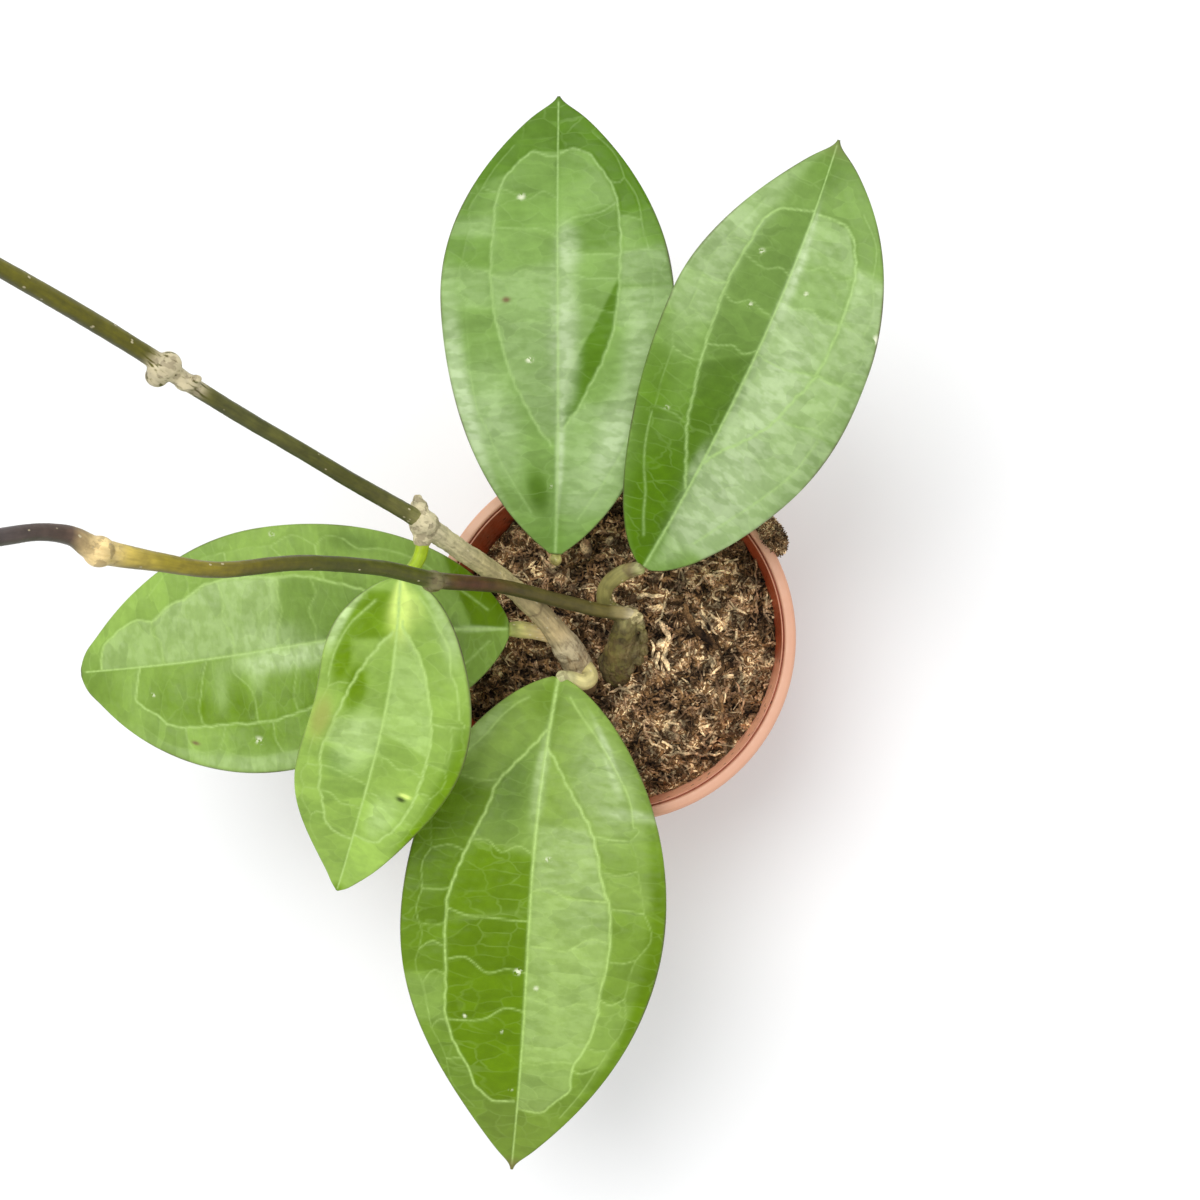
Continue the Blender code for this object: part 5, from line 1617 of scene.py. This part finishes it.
def bent_strip(long, width, bend, twist, segments):
    """A curved, slightly twisted strip: its points and faces."""
    thickness = 0.26
    points, faces = [], []
    for index in range(segments + 1):
        t = index / segments - 0.5
        taper = 1.0 - 0.5 * abs(2.0 * t) ** 3
        centre = Vector((long * t, bend * (4.0 * t * t - 0.5), 0.3 * bend * math.sin(math.pi * t)))
        turn = Matrix.Rotation(twist * t, 3, "X")
        for across, up in ((-1, -1), (1, -1), (1, 1), (-1, 1)):
            corner = Vector((0.0, across * width * taper / 2.0, up * thickness / 2.0))
            points.append((centre + turn @ corner) * MM)
    for index in range(segments):
        base = 4 * index
        for side in range(4):
            after = (side + 1) % 4
            faces.append((base + side, base + after, base + 4 + after, base + 4 + side))
    faces.append((3, 2, 1, 0))
    last = 4 * segments
    faces.append((last, last + 1, last + 2, last + 3))
    return points, faces


def crumb(rng, flatness):
    """A lump with 20 uneven faces: its points and faces."""
    bm = bmesh.new()
    bmesh.ops.create_icosphere(bm, subdivisions=1, radius=1.0)
    points = [tuple(vert.co * rng.uniform(0.65, 1.25)) for vert in bm.verts]
    faces = [tuple(vert.index for vert in face.verts) for face in bm.faces]
    bm.free()
    return [(x * MM, y * MM, z * MM * flatness) for x, y, z in points], faces


def piece_collections():
    """Crumbs, short fibres, long curls and flakes, each as a collection of a few shapes."""
    rng = np.random.default_rng(17)
    groups = {}
    for kind in ("crumbs", "fibres", "curls", "flakes"):
        groups[kind] = bpy.data.collections.new(kind)
        for index in range(5):
            if kind == "crumbs":
                shape = crumb(rng, 0.8)
            elif kind == "flakes":
                shape = crumb(rng, 0.22)
            elif kind == "fibres":
                shape = bent_strip(4.0, 0.58, rng.uniform(-0.7, 0.7), rng.uniform(-1.5, 1.5), 3)
            else:
                shape = bent_strip(9.0, 0.42, rng.uniform(-3.2, 3.2), rng.uniform(-3.0, 3.0), 10)
            name = f"{kind}_{index}"
            groups[kind].objects.link(bpy.data.objects.new(name, make_mesh(name, *shape)))
    return groups


def remove_pieces(groups):
    for collection in groups.values():
        for obj in list(collection.objects):
            bpy.data.objects.remove(obj, do_unlink=True)
        bpy.data.collections.remove(collection)


def keep_inside(mesh, pot):
    """Pull whatever reaches the pot's wall back to it."""
    points = mesh_points(mesh)
    slope = (pot.lip_inner_radius + pot.wall - pot.base_radius) / pot.height
    reach = pot.base_radius - pot.wall - 0.1 * MM + slope * points[:, 2]
    share = reach / np.maximum(np.hypot(points[:, 0], points[:, 1]), 0.01 * MM)
    points[:, :2] *= np.minimum(share, 1.0)[:, None]
    mesh.vertices.foreach_set("co", points.ravel())
    mesh.update()


def scattered(name, surface, tree, values, material, pot, smooth):
    """Pieces scattered over a copy of a surface, as one plain mesh."""
    obj = link_object(name, surface.data.copy())
    add_tree(obj, tree, {**values, "Material": material})
    apply_modifiers(obj)
    keep_inside(obj.data, pot)
    if smooth:
        shade(obj.data, 50.0)
    set_material(obj, material)
    return obj


def mix_material(name, settings, brightness=1.0):
    """Coir and peat: each crumb and fibre has its own shade, with fine damp and dry grain and cloudy patches
    of painted shade, as if in crevices.
    """
    material, tree, shader = new_material(name, roughness=0.9, specular_ior_level=0.2)
    place = object_place(tree)
    grain = mottled(tree, place, 0.0007, 3.0, 1.6)
    clouds = mottled(tree, place, 0.009, 2.0, 1.6)
    # Painted shade: cloudy dark patches stand in for shade in crevices of the mix, with lighter patches
    # between.
    painted_crevice_shade = mottled(tree, place, 0.0042, 2.0, 2.2)
    tone = plus(tree, stored(tree, "shade"), times(tree, minus(tree, clouds, 0.45), 0.4))
    mix = ramp(tree, tone, [(0.0, settings.dark), (0.42, settings.brown),
                            (0.72, screen_colour(156, 124, 94)), (1.0, settings.straw)])
    mix = brightened(tree, mix, grain, 0.55 * brightness, 1.45 * brightness)
    # Painted shade of the crevices, and lighter patches between.
    mix = brightened(tree, mix, painted_crevice_shade, 0.36, 1.55)
    feed(tree, shader, {"Base Color": mix, "Normal": bump(tree, grain, 0.0003, 0.8)})
    return material


# Bits that the photo shows lying on the mix: route in millimetres, thickness, shade
LITTER = [
    ([(23.8, 11.5, 89.4), (24.8, 7.6, 89.2), (27.4, 3.2, 89), (31.2, -.2, 88.6), (35, -3.6, 88)],
     1.25, .2),
    ([(35, -4.3, 88.2), (36.4, -7.6, 88.4), (35.6, -11, 88.2), (33.6, -13.8, 87.6)], .55, .22),
    ([(33.7, -13.2, 87.4), (35, -17.2, 88), (35.8, -22.8, 88), (36.2, -29.4, 87.2)], .85, .46),
    ([(47.9, 29.6, 87.6), (47.3, 22, 88.2), (47.6, 13, 88.4), (47.5, 5, 87.6)], .36, .8),
    ([(16.4, -38.4, 86.2), (23.6, -37.7, 86.8), (30.2, -38.3, 86.6), (35.4, -37.9, 85.8)], .42, .92),
    ([(15.2, 5.9, 89.6), (17.8, 2.2, 89.8), (18.4, -1, 89.4)], .95, 1),
    ([(17.6, -2.8, 89.4), (17, -6.4, 89.6), (18.6, -10.4, 89)], .85, .95),
    ([(15.2, -4.6, 89.4), (14.4, -7.4, 89.6), (15, -10.2, 89)], .6, .9),
    ([(12.4, -.6, 89.6), (13.6, -3.4, 89.6), (12.8, -6, 89.2)], .5, .8),
    ([(6.4, 13.6, 88.8), (11, 14.4, 89.4), (16.6, 14, 88.8)], .75, .95),
    ([(32.5, -9.8, 88.8), (32.8, -6.4, 88.8)], .75, 1),
    ([(-24.9, 28.6, 85.8), (-22, 25.6, 86.6), (-18.4, 21.6, 86.6)], .7, .95),
    ([(-23.4, 24.6, 86), (-20.6, 22.6, 86.6), (-18.2, 19.2, 86.4)], .5, .85),
    ([(-21.6, 29.2, 85.8), (-20.2, 25.8, 86.4), (-17.6, 23.4, 86.2)], .45, .8),
    ([(-3.4, -15.6, 88.6), (.4, -14.2, 89.2), (3.6, -16.8, 89), (6.8, -15.2, 88.6)], .5, .85),
    ([(-1.6, -17.8, 88.4), (2.6, -16.4, 89), (7.2, -18.2, 88.6)], .45, .75),
    ([(28.4, 8.6, 88.6), (31.6, 5, 89.2), (34.4, 1.2, 88.6)], .5, .85),
    ([(31.4, 9, 88.6), (34.8, 6, 89), (38, 3.6, 88.4)], .45, .7),
    ([(38.4, 12.6, 88.2), (41.2, 9.4, 88.8), (44.6, 8.2, 88.2)], .42, .9),
    ([(22, 24, 88.2), (25.6, 26.4, 88.8), (30, 27.2, 88.2)], .42, .85),
    ([(27.6, 17.4, 88.4), (30.4, 20.4, 88.8), (33.6, 21.8, 88.4)], .46, .9),
    ([(9.6, -27.4, 87.6), (12, -33.4, 88), (16.2, -36.2, 87.2)], .42, .8),
    ([(21.4, -26.4, 88), (24.6, -23.2, 88.4), (28.8, -22.6, 88)], .42, .7),
    ([(40.6, -14.6, 87.6), (42.8, -20.4, 88), (42, -26, 87.2)], .45, .6),
    ([(-31.6, -6.4, 84.6), (-28.2, -8.8, 85.2), (-26.4, -12.6, 84.8)], .55, .4)]
# Where pale straws lie close together: centre, spread, how many, heading in degrees
STRAWS = [
    ((15.6, 10.8), (4.2, 3.2), 13, 20), ((17.2, -1), (1.8, 5), 11, -70),
    ((29.4, 4), (4, 5), 9, -50), ((24, -36), (9, 2.4), 6, -60),
    ((42, 2), (4, 12), 9, 80), ((38, -14), (6, 6), 8, 30),
    ((18, -22), (8, 8), 9, -30), ((32, 24), (8, 4), 8, 15),
    ((2, 2), (5, 4), 6, 60), ((-21, 24.6), (2.4, 3.4), 6, -55)]
BARK_CHIPS = [
    ((-37.5, -11.2, 85.2), (1.3, 1, .9), 1.1), ((-9, 30.4, 87.6), (3.2, 2, .7), .75),
    ((-4.6, 27.4, 87.8), (2, 1.4, .6), .7), ((10, -5.6, 89.4), (2.2, 1.5, 1.2), .55),
    ((-26, -9.6, 85.4), (2, 1.4, 1.2), .45), ((43, -35.4, 82.6), (2.2, 1.5, .9), .4),
    ((20.4, -32.4, 87.4), (1.7, 1.3, 1), .6), ((6.4, 13.4, 88.6), (1.5, 1.8, 1.2), .4),
    ((-1.4, 33, 87), (1.8, 1.2, .6), .8), ((16, -1.6, 89.4), (1.6, 1.5, .7), .9)]


def make_litter(trees, material):
    """The bark strip, the sticks, the straws and the chips that lie on the mix."""
    routes, shades = [], []
    for places, thickness, tone in LITTER:
        route = smooth_route([(*place, thickness) for place in places], 0.7)
        route[:, 3] *= 1.0 - 0.55 * np.abs(np.linspace(-1.0, 1.0, len(route))) ** 4
        route[:, :3] += 0.25 * np.sin(np.arange(len(route))[:, None] * 0.9 + np.array([0.0, 1.7, 3.1]))
        routes.append(route)
        shades.extend([tone] * len(route))
    rng = np.random.default_rng(23)
    for (x, y), (wide, deep), number, heading in STRAWS:
        for _ in range(number):
            turn = math.radians(heading + rng.normal(0.0, 32.0))
            half = rng.uniform(1.0, 2.6) * np.array([math.cos(turn), math.sin(turn)])
            middle = np.array([x + wide * rng.normal(0.0, 0.55), y + deep * rng.normal(0.0, 0.55)])
            ends = [middle - half, middle + 0.12 * half[::-1], middle + half]
            level = float(soil_height(middle[0], middle[1], MIX_LEVEL)) + rng.uniform(0.7, 1.5)
            route = smooth_route([(*end, level, rng.uniform(0.28, 0.5)) for end in ends], 0.7)
            routes.append(route)
            shades.extend([rng.uniform(0.72, 1.05)] * len(route))
    mesh = route_mesh("litter", routes)
    add_values(mesh, "shade", shades)
    litter = link_object("litter", mesh)
    add_tree(litter, trees["tubes_along_routes"], {"Sides": 7, "Material": material})
    add_tree(litter, trees["bark"], {"Depth": 0.00025, "Lump Size": 0.0022, "Grain Size": 0.0009, "Seed": 4.0,
                                     "Material": material})
    apply_modifiers(litter)
    bm = bmesh.new()
    bm.from_mesh(litter.data)
    shade_layer = bm.verts.layers.float.get("shade")
    for index, (centre, radii, tone) in enumerate(BARK_CHIPS):
        turn = Euler((0.3 * math.sin(index), 0.3 * math.cos(2.0 * index), 1.7 * index)).to_matrix().to_4x4()
        size = Matrix.Diagonal([radius * MM for radius in radii]).to_4x4()
        made = bmesh.ops.create_icosphere(bm, subdivisions=3, radius=1.0,
                                          matrix=Matrix.Translation(Vector(centre) * MM) @ turn @ size)
        for vert in made["verts"]:
            vert[shade_layer] = tone
            around = Vector((vert.co.x + vert.co.y, vert.co.y - vert.co.z, vert.co.z + vert.co.x)) / MM
            lump = math.sin(2.3 * around.x) * math.cos(2.9 * around.y + around.z)
            vert.co += vert.normal * MM * 0.22 * lump
    bm.to_mesh(litter.data)
    bm.free()
    point_outwards(litter.data)
    shade(litter.data, 55.0)
    set_material(litter, material)
    return litter


def make_mix(settings, pot, groups, trees):
    """The filled body with its crumbs, fibres, curls and flakes."""
    material = mix_material("coir_and_peat", settings)
    body = make_soil_body(settings, pot)
    set_material(body, material)
    area = sum(face.area for face in body.data.polygons if face.normal.z > 0.3)
    made = [body]
    for name, kind, number, smallest, largest, tilt, lift, seed in (
            ("mix_crumbs", "crumbs", settings.crumbs, 0.35, 1.3, 0.8, 0.00005, 2),
            ("mix_fibres", "fibres", settings.fibres, 0.5, 1.85, 0.5, 0.00045, 5),
            ("mix_curls", "curls", settings.fibres // 13, 0.5, 1.2, 0.45, 0.0006, 9),
            ("mix_flakes", "flakes", settings.flakes, 0.35, 1.1, 0.6, 0.0004, 13)):
        values = {"Pieces": groups[kind], "Density": number / area, "Smallest": (smallest,) * 3,
                  "Largest": (largest,) * 3, "Tilt": tilt, "Lift": lift, "Seed": seed}
        smooth = kind in ("fibres", "curls")
        made.append(scattered(name, body, trees["scatter"], values, material, pot, smooth))
    made.append(make_litter(trees, material))
    keep_inside(made[-1].data, pot)
    return made


CLUMP_CENTRE = (51.6, 33.6, 96.8)
CLUMP_RADII = (3.3, 7.2, 5.2)


def make_clump(settings, groups, trees):
    """The tuft of mix that clings over the rim: a lumpy core under fibres and crumbs."""
    material = mix_material("rim_tuft", settings, 0.85)
    bm = bmesh.new()
    turn = Matrix.Rotation(math.atan2(CLUMP_CENTRE[1], CLUMP_CENTRE[0]), 4, "Z")
    size = Matrix.Diagonal([radius * MM for radius in CLUMP_RADII]).to_4x4()
    bmesh.ops.create_icosphere(bm, subdivisions=5, radius=1.0,
                               matrix=Matrix.Translation(Vector(CLUMP_CENTRE) * MM) @ turn @ size)
    mesh = bpy.data.meshes.new("rim_tuft")
    bm.to_mesh(mesh)
    bm.free()
    add_values(mesh, "shade", np.full(len(mesh.vertices), 0.42))
    clump = link_object("rim_tuft", mesh)
    add_tree(clump, trees["bark"], {"Depth": 0.0011, "Lump Size": 0.0045, "Grain Size": 0.0014, "Seed": 7.0,
                                    "Material": material})
    apply_modifiers(clump)
    shade(clump.data)
    for kind, density, smallest, largest, seed in (
            ("crumbs", 3.2e6, 0.3, 0.75, 31), ("fibres", 2.2e6, 0.4, 1.0, 37)):
        add_tree(clump, trees["scatter"], {
            "Pieces": groups[kind], "Density": density, "Smallest": (smallest,) * 3, "Tilt": 0.7, "Lift": 0.0,
            "Largest": (largest,) * 3, "Steepest": -0.4, "Keep Surface": True, "Seed": seed,
            "Material": material})
    apply_modifiers(clump)
    set_material(clump, material)
    return clump


# Camera, light and floor

def camera_axes(azimuth, elevation):
    """The camera's right, up and backward directions."""
    backward = Vector((math.sin(azimuth) * math.cos(elevation), -math.cos(azimuth) * math.cos(elevation),
                       math.sin(elevation)))
    right = Vector((backward.z, 0.0, -backward.x)).normalized()
    return right, backward.cross(right), backward


def make_camera(settings):
    data = bpy.data.cameras.new("camera")
    data.sensor_width = 36.0
    data.lens = settings.lens
    data.clip_end = 20.0
    camera = link_object("camera", data)
    axes = Matrix(camera_axes(settings.camera_azimuth, settings.camera_elevation)).transposed()
    camera.matrix_world = Matrix.Translation(settings.camera_place) @ axes.to_4x4()
    bpy.context.scene.camera = camera


def make_light(name, place, target, size, power):
    data = bpy.data.lights.new(name, "AREA")
    data.shape = "DISK"
    data.size = size
    data.energy = power
    light = link_object(name, data)
    heading = Vector(place) - Vector(target)
    light.matrix_world = Matrix.Translation(place) @ heading.to_track_quat("Z", "Y").to_matrix().to_4x4()


def make_sky(strength):
    world = bpy.data.worlds.new("white_studio")
    world.use_nodes = True
    background = world.node_tree.nodes["Background"]
    background.inputs["Color"].default_value = (1.0, 1.0, 1.0, 1.0)
    background.inputs["Strength"].default_value = strength
    bpy.context.scene.world = world


def make_floor(settings):
    half = settings.floor_size / 2.0
    corners = [(-half, -half, 0.0), (half, -half, 0.0), (half, half, 0.0), (-half, half, 0.0)]
    floor = link_object("floor", make_mesh("floor", corners, [(0, 1, 2, 3)]))
    material, tree, shader = new_material("pale_floor", roughness=0.9, specular_ior_level=0.0)
    paper = mottled(tree, object_place(tree), 0.4, 1.0, 0.5)
    feed(tree, shader, {"Base Color": brightened(tree, settings.floor_colour, paper, 0.995, 1.005)})
    set_material(floor, material)


# One operator for each piece or group of like pieces

def shared_trees():
    """The node trees that several pieces use, built once."""
    makers = {"tubes_along_routes": route_tree, "bark": bark_tree, "scatter": scatter_tree}
    return {name: bpy.data.node_groups.get(name) or maker() for name, maker in makers.items()}


def check_made(objects):
    for obj in objects:
        if len(obj.data.polygons) == 0:
            raise RuntimeError(f"{obj.name} has no faces")


class HOYA_OT_add_stage(bpy.types.Operator):
    """Add the camera, the soft studio light and the pale floor"""
    bl_idname = "hoya.add_stage"
    bl_label = "Add Stage"
    bl_options = {"REGISTER", "UNDO"}

    def execute(self, context):
        settings = context.scene.potted_hoya.stage
        context.scene.view_settings.view_transform = "Standard"
        make_camera(settings)
        make_light("key_light", (-0.40, 0.50, 2.0), (0.0, 0.0, 0.1), 1.1, settings.key_power)
        make_sky(settings.sky_strength)
        make_floor(settings)
        return {"FINISHED"}


class HOYA_OT_add_pot(bpy.types.Operator):
    """Add the terracotta-coloured nursery pot"""
    bl_idname = "hoya.add_pot"
    bl_label = "Add Pot"
    bl_options = {"REGISTER", "UNDO"}

    def execute(self, context):
        pot = make_pot(context.scene.potted_hoya.pot)
        check_made([pot])
        hand_over(pot, "pot")
        return {"FINISHED"}


class HOYA_OT_add_potting_mix(bpy.types.Operator):
    """Add the potting mix, what lies on it, and the tuft that clings over the rim"""
    bl_idname = "hoya.add_potting_mix"
    bl_label = "Add Potting Mix"
    bl_options = {"REGISTER", "UNDO"}

    def execute(self, context):
        settings = context.scene.potted_hoya
        groups = piece_collections()
        trees = shared_trees()
        pieces = make_mix(settings.mix, settings.pot, groups, trees)
        clump = make_clump(settings.mix, groups, trees)
        remove_pieces(groups)
        check_made([*pieces, clump])
        for piece in pieces:
            hand_over(piece, "soil")
        hand_over(clump, "coir_clump")
        return {"FINISHED"}


class HOYA_OT_add_stems(bpy.types.Operator):
    """Add the woody stems, the vines and the leaf stalks"""
    bl_idname = "hoya.add_stems"
    bl_label = "Add Stems"
    bl_options = {"REGISTER", "UNDO"}

    def execute(self, context):
        settings = context.scene.potted_hoya.stems
        trees = shared_trees()
        for name, stem in STEMS.items():
            material = stem_material(name + "_skin", stem, settings)
            obj = make_stem(name, settings, trees, material)
            set_material(obj, material)
            check_made([obj])
            hand_over(obj, stem.node)
        return {"FINISHED"}


class HOYA_OT_add_leaves(bpy.types.Operator):
    """Add the five leaf blades"""
    bl_idname = "hoya.add_leaves"
    bl_label = "Add Leaves"
    bl_options = {"REGISTER", "UNDO"}

    def execute(self, context):
        settings = context.scene.potted_hoya.leaves
        for name, blade in BLADES.items():
            leaf = make_leaf(name, settings)
            set_material(leaf, leaf_material("waxy_" + name, blade, settings))
            check_made([leaf])
            hand_over(leaf, name)
        return {"FINISHED"}


class HOYA_PT_sidebar(bpy.types.Panel):
    """Settings and makers of the potted hoya"""
    bl_idname = "HOYA_PT_sidebar"
    bl_label = "Potted Hoya"
    bl_space_type = "VIEW_3D"
    bl_region_type = "UI"
    bl_category = "Potted Hoya"

    def draw(self, context):
        settings = context.scene.potted_hoya
        for group, operator in ((settings.stage, HOYA_OT_add_stage), (settings.pot, HOYA_OT_add_pot),
                                (settings.mix, HOYA_OT_add_potting_mix), (settings.stems, HOYA_OT_add_stems),
                                (settings.leaves, HOYA_OT_add_leaves)):
            box = self.layout.box()
            for name in group.__annotations__:
                box.prop(group, name)
            box.operator(operator.bl_idname)


SETTINGS = (StageSettings, PotSettings, MixSettings, LeafSettings, StemSettings, HoyaSettings)
OPERATORS = (HOYA_OT_add_stage, HOYA_OT_add_pot, HOYA_OT_add_potting_mix, HOYA_OT_add_stems,
             HOYA_OT_add_leaves)


def register():
    for cls in (*SETTINGS, *OPERATORS, HOYA_PT_sidebar):
        bpy.utils.register_class(cls)
    bpy.types.Scene.potted_hoya = bpy.props.PointerProperty(type=HoyaSettings)


def unregister():
    del bpy.types.Scene.potted_hoya
    for cls in reversed((*SETTINGS, *OPERATORS, HOYA_PT_sidebar)):
        bpy.utils.unregister_class(cls)


def main():
    register()
    bpy.ops.hoya.add_stage()
    bpy.ops.hoya.add_pot()
    bpy.ops.hoya.add_potting_mix()
    bpy.ops.hoya.add_stems()
    bpy.ops.hoya.add_leaves()


if __name__ == "__main__":
    main()
